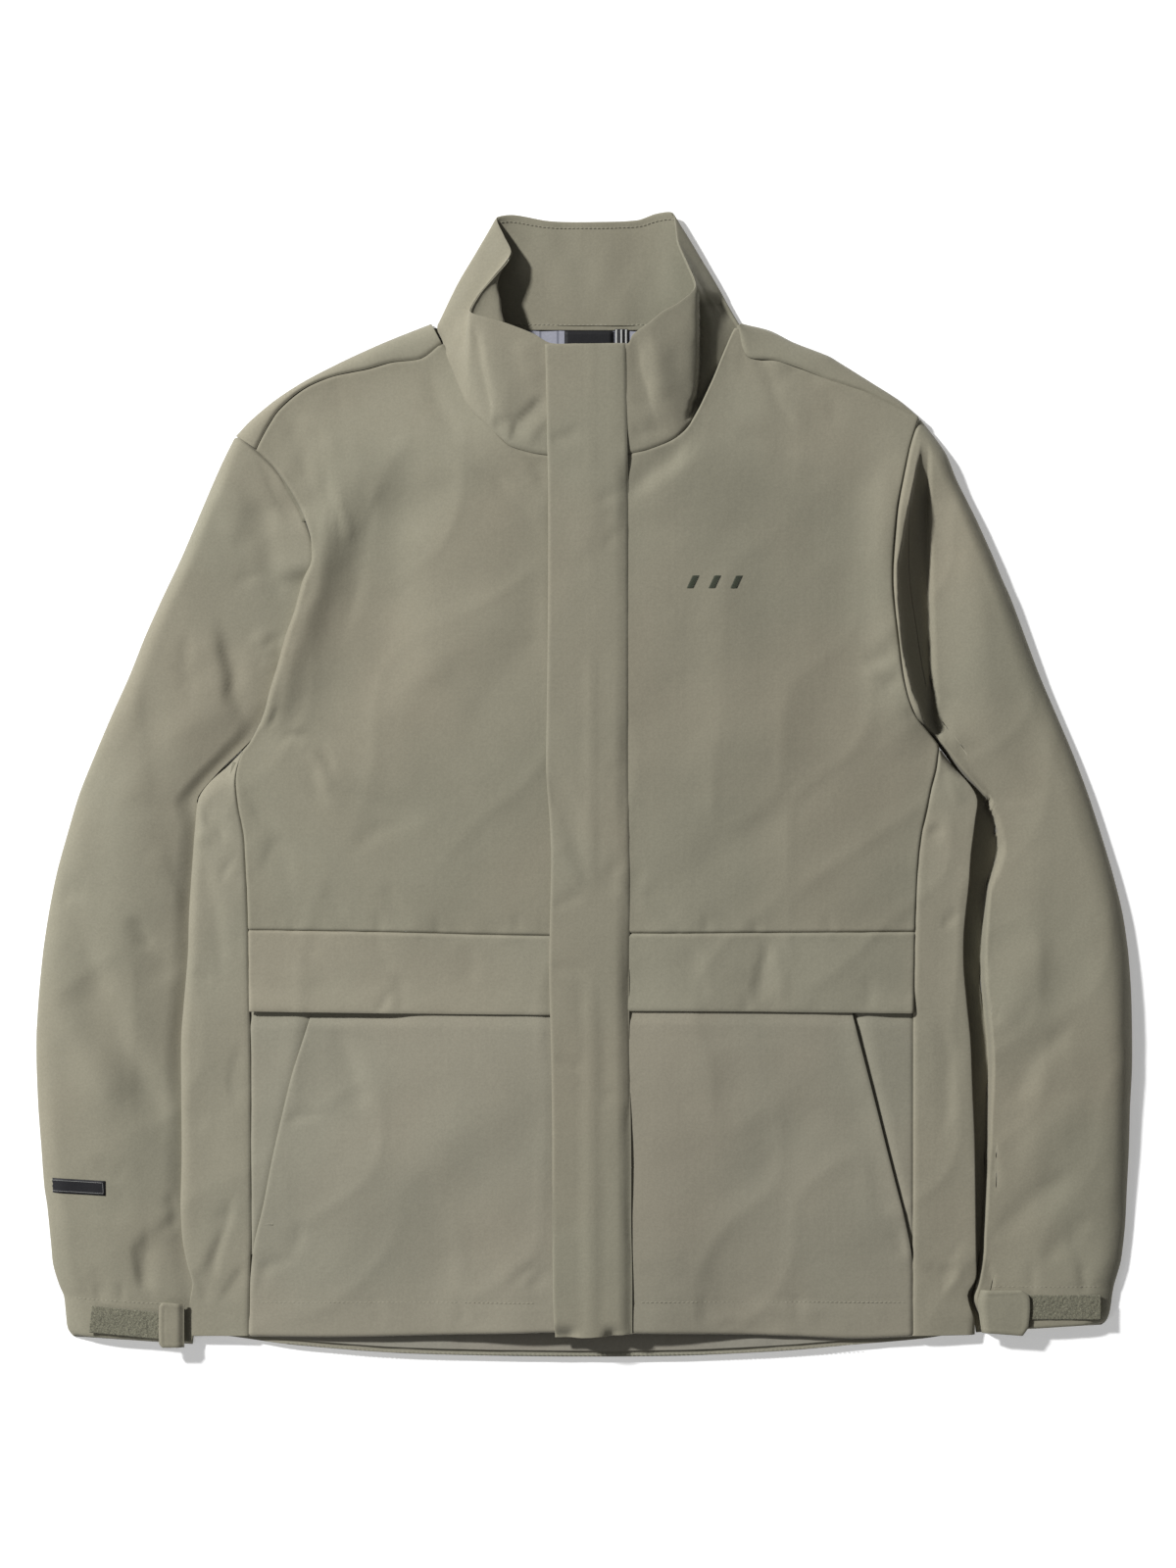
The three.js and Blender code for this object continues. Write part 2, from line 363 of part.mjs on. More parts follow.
const liningLeft = backLeft.filter((p) => p[1] > hemTop + 4).map((p) => [p[0] + 14, p[1] - 2]);
const liningRight = backRight.filter((p) => p[1] > hemTop + 4).map((p) => [p[0] - 14, p[1] - 2]);
const NECK_BACK_Y = 327.6;
const armR = ARM_R.slice(1).map((p) => [p[0] + 12, p[1]]), armL = ARM_L.filter((p) => p[1] > YOKE_Y).map((p) => [p[0] - 12, p[1]]);
const liningTopRail = [armR[armR.length - 1]].concat(OUT_R.slice(2, -1).map((p) => [p[0] + 4, p[1] - 12]), [[-100, NECK_BACK_Y - 4], [104, NECK_BACK_Y - 4]],
  reversed(OUT_L.slice(2, -1)).map((p) => [p[0] - 4, p[1] - 12]), [armL[armL.length - 1]]);
add('lining_back', slab(patch([[liningLeft[0][0], hemTop + 0.6], [liningRight[0][0], hemTop + 0.6]], liningTopRail,
  [[liningLeft[0][0], hemTop + 0.6]].concat(liningLeft, armR), [[liningRight[0][0], hemTop + 0.6]].concat(liningRight, armL), 10, 10),
  CLOTH + 0.3, CLOTH + 0.3 + LINING), 'lining');

// back yoke: flat behind the shoulders, wrapping forward over both of them to the front seam
const wasm = await Module();
wasm.setup();
function toManifold(geometry) {
  const g = geometry.clone();
  g.deleteAttribute('normal');
  const m = mergeVertices(g, 1e-4);
  return new wasm.Manifold(new wasm.Mesh({ numProp: 3, vertProperties: new Float32Array(m.attributes.position.array), triVerts: new Uint32Array(m.index.array) }));
}
function fromManifold(man) {
  const m = man.getMesh(), geometry = new THREE.BufferGeometry();
  geometry.setAttribute('position', new THREE.BufferAttribute(new Float32Array(m.vertProperties), 3));
  geometry.setIndex(Array.from(m.triVerts));
  geometry.computeVertexNormals();
  return geometry;
}
const yokeLeft = [[xAt(FOLD_R, YOKE_Y + 0.5), YOKE_Y + 0.5]].concat(ARM_R.slice(0), [[-247, 248.6]]);
const yokeRight = between(ARM_L, YOKE_Y + 0.5, 261.8);
const yokeTop = OUT_R.concat([[-103, NECK_BACK_Y], [106, NECK_BACK_Y]], reversed(OUT_L));
const yokeFlat = slab(inset(patch([yokeLeft[0], [0, YOKE_Y + 0.5], yokeRight[0]], yokeTop, yokeLeft, yokeRight, 14, 4), [0, 0, 0.6, 0.6]), 0, CLOTH);
function wrapOver(out, seam, flip) {
  const O = rail(out), S = rail(seam), grid = [];
  for (let j = 0; j <= 4; j++) {
    const w = (j / 4) * Math.PI / 2, row = [];
    for (let i = 0; i <= 8; i++) {
      const u = 0.02 + 0.96 * i / 8, o = O(u), s = S(u);
      const k = Math.sin(w) ** 1.0, f = 1 - Math.cos(w);
      // stop short of the seam, and start just inside the fold so that it joins the flat part
      const px = lerp(o[0], s[0], f * 0.8), py = lerp(o[1], s[1], f * 0.8);
      row.push([px, py, lerp(0.7, SHOULDER_Z, k)]);
    }
    grid.push(row);
  }
  if (flip) for (const row of grid) row.reverse();
  return sheet(grid.reverse(), -half, half);
}
const shoulderIn = (points) => points.map((p) => [p[0], p[1]]);
const wrapR = wrapOver(OUT_R.map((p) => [p[0] + 0.3, p[1] - 0.8]), shoulderIn(SHOULDER_R), false);
const wrapL = wrapOver(OUT_L.map((p) => [p[0] - 0.3, p[1] - 0.8]), shoulderIn(SHOULDER_L), true);
const yoke = toManifold(yokeFlat).add(toManifold(wrapR)).add(toManifold(wrapL));
add('back_yoke', fromManifold(yoke), 'shell');

// stand collar -------------------------------------------------------------
const COLLAR_TOP = [[-61.6, 404], [-56, 406], [-39.2, 404.6], [-21, 402.5], [2.8, 401.8], [30.8, 401.8], [44.8, 405.3], [58.8, 408.6], [63, 407.4]];
const collarBackLow = [[-99, NECK_BACK_Y + 1.5], [0, NECK_BACK_Y + 1.5], [106, NECK_BACK_Y + 1.5]];
const collarBackLeft = [[-99, NECK_BACK_Y + 1.5], [-92.4, 340], [-86.8, 361.9], [-75.6, 386.4], [-61.6, 404]];
const collarBackRight = [[106, NECK_BACK_Y + 1.5], [100.8, 346], [93.8, 362.6], [79.8, 386.4], [63, 407.4]];
const collarBack = () => patch(collarBackLow, COLLAR_TOP, collarBackLeft, collarBackRight, 8, 4);
add('collar_outer_back', slab(inset(collarBack(), [0, 0, 0.3, 0.3]), 0, CLOTH), 'shell');
add('collar_inner_back', slab(inset(collarBack(), [1, 0.6, 5, 5]), CLOTH + 0.3, CLOTH + 1.0), 'inner');

// each collar front comes round from the side fold to the zip
const heights = (points, z) => points.map((p, i) => [p[0], p[1], z(i / (points.length - 1), p)]);
const LOW = 4.4;
{
  const neck = heights(NECK_R, (t, p) => Math.max(LOW, front(p[0], p[1])));
  neck[0] = [-101.5, 324, LOW];
  const topZ = zip(NECK_R[NECK_R.length - 1][1] + 78);
  const side = [[-101.5, 324, LOW], [-95, 340.2, LOW], [-87.5, 359, LOW], [-76.5, 383.5, LOW], [-63, 402, LOW]];
  const brim = [[-63, 402, LOW], [-67, 380, 7], [-74, 355, 13], [-79.8, 334.6, 19], [-70, 330.5, 23], [-55.3, 326.2, 26.5], [-39.2, 320.6, 29], [-25, 312.5, topZ], [RIGHT_FRONT_X, 312.2, topZ]];
  const centre = [neck[neck.length - 1], [RIGHT_FRONT_X, 312.2, topZ]];
  const grid = () => patch(neck, brim, side, centre, 8, 4);
  add('collar_outer_right', sheet(inset(grid(), [2.4, 0, 0, 0.2]), -half, half), 'shell');
  add('collar_inner_right', sheet(inset(grid(), [3.4, 1.2, 2.5, 7.5]), -half - 1.2, -half - 0.5), 'inner');
}
{
  const neck = reversed(heights(NECK_L, (t, p) => Math.max(LOW, front(p[0], p[1]))));
  neck[neck.length - 1] = [108.5, 324, LOW];
  const topZ = zip(NECK_L[NECK_L.length - 1][1] + 78);
  const side = [[108.5, 324, LOW], [101.5, 344, LOW], [95, 360, LOW], [81, 384, LOW], [64.5, 404.5, LOW]];
  const brim = [[LEFT_FRONT_X, 312.2, topZ], [30.8, 312.2, topZ], [36, 320, 29], [44.8, 327.6, 26], [64, 341, 21], [76, 353, 16], [73, 372, 10.5], [68, 388, 7], [64.5, 404.5, LOW]];
  const centre = [neck[0], [LEFT_FRONT_X, 312.2, topZ]];
  const grid = () => patch(neck, brim, centre, side, 8, 4);
  add('collar_outer_left', sheet(inset(grid(), [2.4, 0, 0.2, 0]), -half, half), 'shell');
  add('collar_inner_left', sheet(inset(grid(), [3.4, 1.2, 7.5, 2.5]), -half - 1.2, -half - 0.5), 'inner');
}

function plate(x0, x1, y0, y1, z0, z1) {
  const g = new THREE.BoxGeometry(x1 - x0, y1 - y0, z1 - z0);
  g.translate((x0 + x1) / 2, (y0 + y1) / 2, (z0 + z1) / 2);
  return g;
}
add('neck_label', plate(-14, 20.5, 276, 325.5, 2.2, 2.7), 'black');
add('hanger_loop', plate(22, 31, 290, 332, 2.9, 3.6), 'black');

// centre front: zip -----------------------------------------------------------
// sizes across the zip are given from its centre line, and heights from the front's surface
function along(x0, x1, y0, y1, low, high, step = 1) {
  const grid = [];
  for (let j = 0; j <= step; j++) {
    const y = lerp(y0, y1, j / step);
    grid.push([[FRONT_X + x0, y, zip(y)], [FRONT_X + x1, y, zip(y)]]);
  }
  return sheet(grid, low, high);
}
add('zip_tape_right', along(-15.5, -3.1, ZIP_BOTTOM_Y, ZIP_TOP_Y, -1.6, -0.9), 'tape');
add('zip_tape_left', along(3.1, 15.5, ZIP_BOTTOM_Y, ZIP_TOP_Y, -1.6, -0.9), 'tape');
const teethLow = ZIP_BOTTOM_Y + 9, teethHigh = SLIDER_Y - SLIDER_LENGTH / 2 + 10;
add('zip_teeth_right', along(-2.8, -0.15, teethLow, teethHigh, -2.4, 0.1), 'tape');
add('zip_teeth_left', along(0.15, 2.8, teethLow, teethHigh, -2.4, 0.1), 'tape');
add('zip_bottom_box', along(-3.4, 3.4, ZIP_BOTTOM_Y - 0.5, ZIP_BOTTOM_Y + 8.6, -0.5, 0.25), 'tape');
add('zip_top_stop_right', along(-2.8, -0.3, teethHigh + 0.4, teethHigh + 4.4, -2.2, 0.1), 'metal');
add('zip_top_stop_left', along(0.3, 2.8, teethHigh + 0.4, teethHigh + 4.4, -2.2, 0.1), 'metal');

// slider: a saddle over the teeth, with a flange down each side of them
const slope = Math.atan(FRONT_RISE);
const slider = new THREE.Group();
slider.position.set(FRONT_X, SLIDER_Y, zip(SLIDER_Y) );
slider.rotation.x = slope;
jacket.add(slider);
{
  const w = SLIDER_WIDTH / 2, s = new THREE.Shape();
  s.moveTo(-w, -0.4); s.lineTo(-3.4, -0.4); s.lineTo(-3.4, 0.5); s.lineTo(3.4, 0.5); s.lineTo(3.4, -0.4); s.lineTo(w, -0.4);
  s.lineTo(w, 1.1); s.lineTo(w - 1, 1.9); s.lineTo(1 - w, 1.9); s.lineTo(-w, 1.1); s.closePath();
  const g = new THREE.ExtrudeGeometry(s, { depth: SLIDER_LENGTH, bevelEnabled: false });
  g.rotateX(Math.PI / 2); g.translate(0, SLIDER_LENGTH / 2, 0);
  add('zip_slider', g, 'metal', slider);
  // the pull hangs below the slider, over the closed teeth
  const p = new THREE.Shape(), h = PULL_WIDTH / 2, top = -SLIDER_LENGTH / 2 - 1.6;
  p.moveTo(-h * 0.7, top); p.lineTo(-h, top - 4); p.lineTo(-h, top - PULL_LENGTH + 2.5); p.lineTo(-h + 2.5, top - PULL_LENGTH);
  p.lineTo(h - 2.5, top - PULL_LENGTH); p.lineTo(h, top - PULL_LENGTH + 2.5); p.lineTo(h, top - 4); p.lineTo(h * 0.7, top); p.closePath();
  const hole = new THREE.Path();
  hole.moveTo(-2.2, top - 21); hole.lineTo(2.2, top - 21); hole.lineTo(2.2, top - 27); hole.lineTo(-2.2, top - 27); hole.closePath();
  p.holes.push(hole);
  const pg = new THREE.ExtrudeGeometry(p, { depth: 1.2, bevelEnabled: false });
  pg.translate(0, 0, 0.6);
  add('zip_pull', pg, 'metal', slider);
}

// storm flap, sewn to the wearer's left front -------------------------------
{
  const free = FLAP_FREE.map((p) => p), root = FLAP_ROOT.map((p) => [p[0] - 1.2, p[1]]);
  const g = patch([free[0], root[0]], [free[free.length - 1], root[root.length - 1]], free, root, 3, 12);
  add('storm_flap', sheet(g.map((row) => row.map((p) => [p[0], p[1], zip(p[1])])), FLAP_LIFT - half, FLAP_LIFT + half), 'shell');
  PATCH_Y.forEach((y, i) => {
    const x = xAt(FLAP_FREE, y) + 2.5 - FRONT_X;
    add(`flap_hook_${i + 1}`, along(x, x + PATCH_WIDTH, y - PATCH_LENGTH / 2, y + PATCH_LENGTH / 2, FLAP_LIFT - half - 1.1, FLAP_LIFT - half - 0.3), 'loop');
    add(`flap_loop_${i + 1}`, along(x, x + PATCH_WIDTH - 0.2, y - PATCH_LENGTH / 2, y + PATCH_LENGTH / 2, half + 0.3, half + 1.2), 'loop');
  });
}

// sleeves --------------------------------------------------------------------
// Each sleeve is a ladder: rungs run from its outer fold to its inner edge, which follows the inner
// fold up to the armpit and the armhole seam from there to the shoulder tip.
const crest = (v) => (v < 0.3 ? lerp(CUFF_Z, SLEEVE_Z, smooth(v / 0.3)) : lerp(SLEEVE_Z, 14.6, smooth((v - 0.3) / 0.6)));
const sleeves = [
  { name: 'right', out: SLV_OUT_R, inner: SLV_IN_R, armpit: [[-275.5, -9.8], [-261.5, 8.5], [-245.6, 24], [-236, 33.6]],
    arm: FOLD_R.slice(1).concat(ARM_R, ARM_R_TIP.slice(1)) },
  { name: 'left', out: SLV_OUT_L, inner: SLV_IN_L, armpit: [[280.7, -10.5], [266.8, 9], [254.6, 26]],
    arm: ARM_L.slice(1) },
];
for (const s of sleeves) {
  const flip = s.name === 'left';
  const outer = rail(reversed(s.out));
  const below = reversed(s.inner).slice(0, -1).concat(s.armpit);
  const inner = rail(below.concat(s.arm));
  const reach = (points) => points.slice(1).reduce((sum, p, i) => sum + Math.hypot(p[0] - points[i][0], p[1] - points[i][1]), 0);
  const armpitAt = reach(below) / reach(below.concat(s.arm));
  const stops = [0, 0.035, 0.1, 0.18, 0.26, 0.34, 0.42, 0.5, 0.545, 0.6, 0.65, 0.7, 0.75, 0.8, 0.85, 0.9, 0.94, 0.97];
  const row = (v, across, shape) => {
    const o = outer(v), n = inner(v), out = [];
    const open = smooth((v - armpitAt) / 0.05);
    for (let i = 0; i <= across; i++) {
      const u = shape ? (1 - Math.cos(Math.PI * i / across)) / 2 : i / across;
      const closed = Math.sqrt(Math.max(0, 1 - Math.abs(2 * u - 1) ** 3.2));
      const rise = u < 0.5 ? closed : lerp(closed, 1, open);
      const seam = lerp(crest(v), front(n[0], n[1]), open * smooth(2 * u - 1));
      const narrow = smooth((1 - v) / 0.16);
      out.push([lerp(o[0], n[0], u), lerp(o[1], n[1], u), lerp(EDGE_Z, lerp(8, seam, narrow), rise)]);
    }
    return flip ? out.reverse() : out;
  };
  const g = 3.2, gaps = flip ? [0, 0, g, 0] : [0, 0, 0, g];
  add(`sleeve_${s.name}_top`, sheet(inset(stops.map((v) => row(v, 10, true)), gaps), -half, half), 'shell');
  const baseGaps = flip ? [0, 0, g, 0.4] : [0, 0, 0.4, g];
  add(`sleeve_${s.name}_under`, slab(inset(stops.map((v) => row(v, 4, false)), baseGaps), 0, CLOTH), 'shell');
}
// hook-and-loop adjusters at the cuffs, and the badge on the wearer's right sleeve
const TOP = CUFF_Z + half;
const flatPlate = (outline, low, high) => {
  const s = new THREE.Shape(outline.map((p) => new THREE.Vector2(p[0], p[1])));
  const g = new THREE.ExtrudeGeometry(s, { depth: high - low, bevelEnabled: false });
  g.translate(0, 0, low);
  return g;
};
const LOOP_UNDER_R = [LOOP_R[0], LOOP_R[1], [-288, -375.6], [-288, -395]];
const LOOP_UNDER_L = [[299, -380], [299, -361.9], LOOP_L[2], LOOP_L[3]];
add('cuff_loop_right', flatPlate(LOOP_UNDER_R, TOP + 0.7, TOP + 1.5), 'loop');
add('cuff_loop_left', flatPlate(LOOP_UNDER_L, TOP + 0.7, TOP + 1.5), 'loop');
add('cuff_hook_right', plate(-300.2, -289, -393, -378, TOP + 1.8, TOP + 2.5), 'loop');
add('cuff_hook_left', plate(300, 314.5, -379, -363, TOP + 1.8, TOP + 2.5), 'loop');
add('cuff_tab_right', flatPlate(TAB_R, TOP + 2.8, TOP + 3.9), 'shell');
add('cuff_tab_left', flatPlate(TAB_L, TOP + 2.8, TOP + 3.9), 'shell');
add('sleeve_badge', flatPlate(LABEL_R, 16.2, 16.8), 'black');

export default jacket;
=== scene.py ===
# A zip-front shell jacket, laid flat on its back. Every cloth panel is made here as its own closed
# sheet on a fine grid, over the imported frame. Lengths in this file are millimetres until a mesh
# is made, and outline curves are [x, y] pairs in the plane that the jacket lies on.
import math
import bpy
import numpy as np
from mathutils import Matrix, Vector


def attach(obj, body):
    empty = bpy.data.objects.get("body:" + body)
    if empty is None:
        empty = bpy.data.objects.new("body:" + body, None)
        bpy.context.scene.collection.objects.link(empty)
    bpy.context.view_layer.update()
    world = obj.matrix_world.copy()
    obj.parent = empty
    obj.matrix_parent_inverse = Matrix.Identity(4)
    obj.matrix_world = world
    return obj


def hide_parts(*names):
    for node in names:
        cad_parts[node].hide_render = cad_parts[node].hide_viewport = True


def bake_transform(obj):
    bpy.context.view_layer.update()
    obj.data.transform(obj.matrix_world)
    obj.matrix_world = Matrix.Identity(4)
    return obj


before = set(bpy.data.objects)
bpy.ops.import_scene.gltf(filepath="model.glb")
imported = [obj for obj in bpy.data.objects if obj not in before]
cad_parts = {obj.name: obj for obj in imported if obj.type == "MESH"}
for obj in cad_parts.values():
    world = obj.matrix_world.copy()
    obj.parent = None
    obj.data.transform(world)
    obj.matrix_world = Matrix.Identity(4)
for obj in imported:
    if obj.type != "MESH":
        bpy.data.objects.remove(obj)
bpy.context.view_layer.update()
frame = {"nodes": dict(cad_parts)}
bpy.context.view_layer.update()

def at(px, py):
    """A place on a drawing grid 0.7 mm to the unit, with its origin at the top left, in millimetres."""
    return ((px - 596.0) * 0.7, (802.0 - py) * 0.7)

C = {
    'SIDE_SEAM_R': [(-238.7, -393.4), (-238, -355.6), (-237.3, -338.1), (-236.6, -322), (-236.6, -306.6), (-236.6, -264.6), (-236.6, -194.6), (-237.3, -159.6), (-238, -138.6), (-238.7, -102.2), (-239.4, -82.6), (-240.8, -54.6), (-242.2, -33.6), (-245.7, -16.1), (-247.8, 1.4), (-247.1, 11.9), (-243.6, 23.8)],
    'EDGE_R': [(-279.3, -392), (-281.4, -380.1), (-280.7, -366.1), (-278.6, -354.2), (-282.1, -341.6), (-285.6, -324.1), (-287, -299.6), (-286.3, -264.6), (-286.3, -222.6), (-286.3, -180.6), (-284.2, -152.6), (-281.4, -117.6), (-280.7, -89.6), (-278.6, -54.6), (-276.5, -26.6), (-273.7, -7.7)],
    'EDGE_R_TOP': [(-273.7, -7.7), (-259.7, 9.8), (-243.6, 25.2), (-233.8, 35)],
    'FOLD_R': [(-233.8, 35), (-232.4, 39.9), (-226.8, 53.9), (-223.3, 67.9), (-217.7, 85.4), (-212.1, 106.4), (-205.8, 123.9), (-200.2, 144.9), (-194.6, 158.9), (-193.2, 174.3)],
    'ARM_R': [(-193.2, 174.3), (-197.4, 188.3), (-203.7, 202.3), (-212.8, 217), (-221.2, 227.5), (-233.8, 239.4)],
    'ARM_R_TIP': [(-233.8, 239.4), (-246.4, 249.2)],
    'SHOULDER_R': [(-233.8, 239.4), (-229.6, 247.8), (-224.7, 256.9), (-217.7, 267.4), (-205.8, 278.6), (-193.2, 286.3), (-175.7, 292.6), (-154.7, 296.8), (-137.2, 301.7), (-116.2, 304.5), (-100.8, 315)],
    'OUT_R': [(-248.5, 249.2), (-238, 260.4), (-221.2, 274.4), (-199.5, 288.4), (-172.9, 302.4), (-142.1, 316.4), (-108.5, 329.7)],
    'NECK_R': [(-100.8, 315), (-96.6, 305.9), (-91, 291.9), (-84.7, 277.9), (-76.3, 266), (-67.2, 255.5), (-53.2, 240.8), (-39.2, 235.9), (-26.6, 233.8), (-4.2, 233.1)],
    'SIDE_SEAM_L': [(233.8, -393.4), (233.8, -327.6), (233.8, -264.6), (233.8, -208.6), (233.8, -161.7), (234.5, -138.6), (235.2, -103.6), (236.6, -68.6), (238, -47.6), (240.1, -32.2), (243.6, -16.1), (246.4, -2.1), (249.9, 11.9), (252, 26.6)],
    'EDGE_L': [(278.6, -391.3), (277.9, -380.1), (274.4, -369.6), (273, -361.2), (278.6, -350.7), (278.6, -334.6), (277.9, -292.6), (277.2, -250.6), (275.8, -215.6), (274.4, -180.6), (271.6, -152.6), (269.5, -128.1), (269.5, -107.1), (270.9, -89.6), (273, -68.6), (274.4, -47.6), (277.2, -25.2), (278.6, -7.7)],
    'EDGE_L_TOP': [(278.6, -7.7), (265.3, 10.5), (252, 28)],
    'ARM_L': [(252, 28), (244.3, 37.8), (235.9, 48.3), (230.3, 60.9), (226.8, 74.9), (224.7, 88.9), (222.6, 106.4), (220.5, 123.9), (219.1, 141.4), (219.1, 155.4), (220.5, 176.4), (222.6, 197.4), (226.8, 218.4), (232.4, 242.9), (238.7, 261.8)],
    'SHOULDER_L': [(237.3, 261.8), (216.3, 273), (198.8, 281.4), (172.9, 289.8), (153.3, 297.5), (135.8, 303.1), (116.2, 305.9), (108.5, 327.6)],
    'OUT_L': [(238.7, 262.5), (225.4, 274.4), (203.7, 288.4), (181.3, 302.4), (174.3, 306.6), (149.1, 316.4), (132.3, 324.8), (112, 329.7)],
    'NECK_L': [(108.5, 327.6), (100.8, 312.9), (92.4, 291.9), (86.1, 277.9), (81.2, 267.4), (72.8, 253.4), (62.3, 245), (48.3, 239.4), (31.5, 235.2), (14, 233.8)],
    'BAND_TOP_R': [(-238.7, -102.2), (-137.2, -103.6), (-81.2, -105), (-4.2, -106.4)],
    'BAND_BOT_R': [(-236.6, -160.3), (-186.2, -161), (-116.2, -161.7), (-4.2, -162.4)],
    'BAND_TOP_L': [(14, -104.3), (72.8, -104.3), (235.2, -103.6)],
    'BAND_BOT_L': [(14, -159.6), (72.8, -159.6), (233.8, -161.7)],
    'POCKET_R': [(-193.9, -162.4), (-207.2, -205.1), (-214.9, -236.6), (-221.2, -264.6), (-228.2, -299.6), (-233.8, -322), (-235.9, -334.6)],
    'POCKET_L': [(190.4, -161.7), (198.8, -194.6), (207.9, -229.6), (214.9, -257.6), (221.2, -282.1), (227.5, -306.6), (233.1, -334.6)],
    'HEM_R': [(-277.9, -392), (-266.7, -393.4), (-238.7, -393.4), (-179.2, -392), (-116.2, -390.6), (-25.2, -387.8), (-4.2, -387.8)],
    'HEM_L': [(14, -388.5), (34.3, -388.5), (72.8, -389.2), (142.8, -391.3), (191.8, -393.4), (233.8, -394.1), (254.8, -393.4), (278.6, -391.3)],
    'BACK_HEM': [(-252, -393.4), (-207.2, -399), (-137.2, -404.6), (-67.2, -406.7), (2.8, -407.4), (72.8, -406.7), (142.8, -403.2), (198.8, -398.3), (242.2, -394.8)],
    'FLAP_FREE': [(-20.3, -391.3), (-21.7, -369.6), (-22.4, -313.6), (-22.4, -243.6), (-23.1, -192.5), (-24.5, -138.6), (-24.5, -124.6), (-23.8, -86.8), (-23.1, -47.6), (-24.5, -19.6), (-26.6, 7), (-25.9, 71.4), (-25.2, 141.4), (-25.2, 211.4), (-25.9, 242.9), (-26.6, 281.4), (-27.3, 311.5)],
    'FLAP_ROOT': [(34.3, -388.5), (34.3, -348.6), (33.6, -313.6), (33.6, -264.6), (32.9, -222.6), (32.2, -180.6), (32.2, -138.6), (32.2, -110.6), (32.9, -68.6), (32.2, -33.6), (31.5, 1.4), (31.5, 71.4), (31.5, 141.4), (31.5, 197.4), (30.8, 232.4), (30.1, 267.4), (29.4, 312.2)],
    'SLV_OUT_R': [(-248.5, 249.2), (-256.9, 232.4), (-263.2, 218.4), (-275.1, 190.4), (-287, 162.4), (-300.3, 134.4), (-312.9, 106.4), (-324.1, 78.4), (-336.7, 50.4), (-348.6, 22.4), (-359.8, -5.6), (-368.2, -33.6), (-375.9, -61.6), (-381.5, -89.6), (-385.7, -117.6), (-388.5, -145.6), (-390.4, -173.6), (-390.6, -187.6), (-390.4, -201.6), (-389.2, -229.6), (-387.1, -257.6), (-385, -285.6), (-382.9, -299.6), (-380.1, -327.6), (-378.7, -341.6), (-374.5, -355.6), (-371, -364), (-369.6, -376.6), (-368.2, -387.1), (-364.7, -391.3)],
    'SLV_IN_R': [(-275.1, -9.8), (-277.9, -26.6), (-280, -54.6), (-282.1, -89.6), (-282.8, -117.6), (-285.6, -152.6), (-287.7, -180.6), (-287.7, -222.6), (-287.7, -264.6), (-288.4, -299.6), (-287, -324.1), (-284.2, -341.6), (-282.8, -355.6), (-282.8, -369.6), (-282.8, -396.9)],
    'CUFF_R': [(-364.7, -391.3), (-347.2, -392.7), (-303.1, -396.2), (-282.8, -396.9)],
    'SLV_OUT_L': [(238.7, 262.5), (244.3, 255.5), (251.3, 246.4), (258.3, 235.9), (265.3, 218.4), (272.3, 204.4), (279.3, 190.4), (285.6, 176.4), (291.9, 162.4), (297.5, 148.4), (303.8, 134.4), (314.3, 106.4), (324.8, 78.4), (336.7, 50.4), (348.6, 22.4), (359.1, -5.6), (368.2, -33.6), (376.6, -61.6), (383.6, -89.6), (387.8, -117.6), (389.9, -145.6), (390.6, -173.6), (390.6, -201.6), (389.2, -229.6), (388.5, -257.6), (387.1, -285.6), (385.7, -313.6), (382.9, -338.1), (380.1, -348.6), (378, -355.6), (376.6, -362.6), (375.2, -373.1), (373.1, -380.1), (369.6, -382.9)],
    'SLV_IN_L': [(280.7, -10.5), (284.9, -16.1), (291.2, -26.6), (295.4, -39.2), (296.8, -44.8), (295.4, -54.6), (289.8, -68.6), (285.6, -82.6), (284.2, -96.6), (282.8, -110.6), (284.2, -124.6), (285.6, -136.5), (289.8, -142.1), (291.2, -156.1), (288.4, -173.6), (286.3, -194.6), (288.4, -215.6), (289.8, -233.1), (287, -250.6), (283.5, -271.6), (285.6, -289.1), (284.9, -306.6), (282.8, -320.6), (283.5, -334.6), (282.8, -356.3), (280, -366.1), (282.1, -380.1), (283.5, -388.5)],
    'CUFF_L': [(369.6, -382.9), (338.8, -383.6), (315, -383.6), (283.5, -384.3)],
    'LOOP_R': [(-352.1, -388.5), (-350, -369.6), (-301.7, -374.5), (-303.1, -393.4)],
    'TAB_R': [(-299.6, -399), (-301.7, -396.2), (-301.7, -369.6), (-299.6, -366.8), (-284.2, -368.2), (-284.2, -399)],
    'LOOP_L': [(317.8, -379.4), (317.8, -361.9), (367.5, -361.9), (367.5, -379.4)],
    'TAB_L': [(282.8, -388.5), (281.4, -380.1), (280, -366.1), (282.1, -358.4), (310.8, -358.4), (316.4, -363.3), (315.7, -383.6), (311.5, -390.6)],
    'LABEL_R': [(-384.3, -289.1), (-385, -278.6), (-340.2, -280.7), (-340.2, -291.2)],
    'STITCH_HEM_R': [(-278.6, -366.8), (-238.7, -367.5), (-137.2, -366.8), (-25.2, -366.8)],
    'STITCH_HEM_L': [(34.3, -366.1), (142.8, -366.8), (233.8, -367.5), (274.4, -367.5)],
    'STITCH_CUFF_R': [(-371, -364), (-340.2, -366.1), (-305.2, -368.2), (-284.2, -368.2)],
    'STITCH_CUFF_L': [(282.8, -356.3), (324.8, -356.3), (378, -356.3)],
}

# ------------------------------------------------------------------ curves and grids
def arr(points):
    return np.array(points, float)

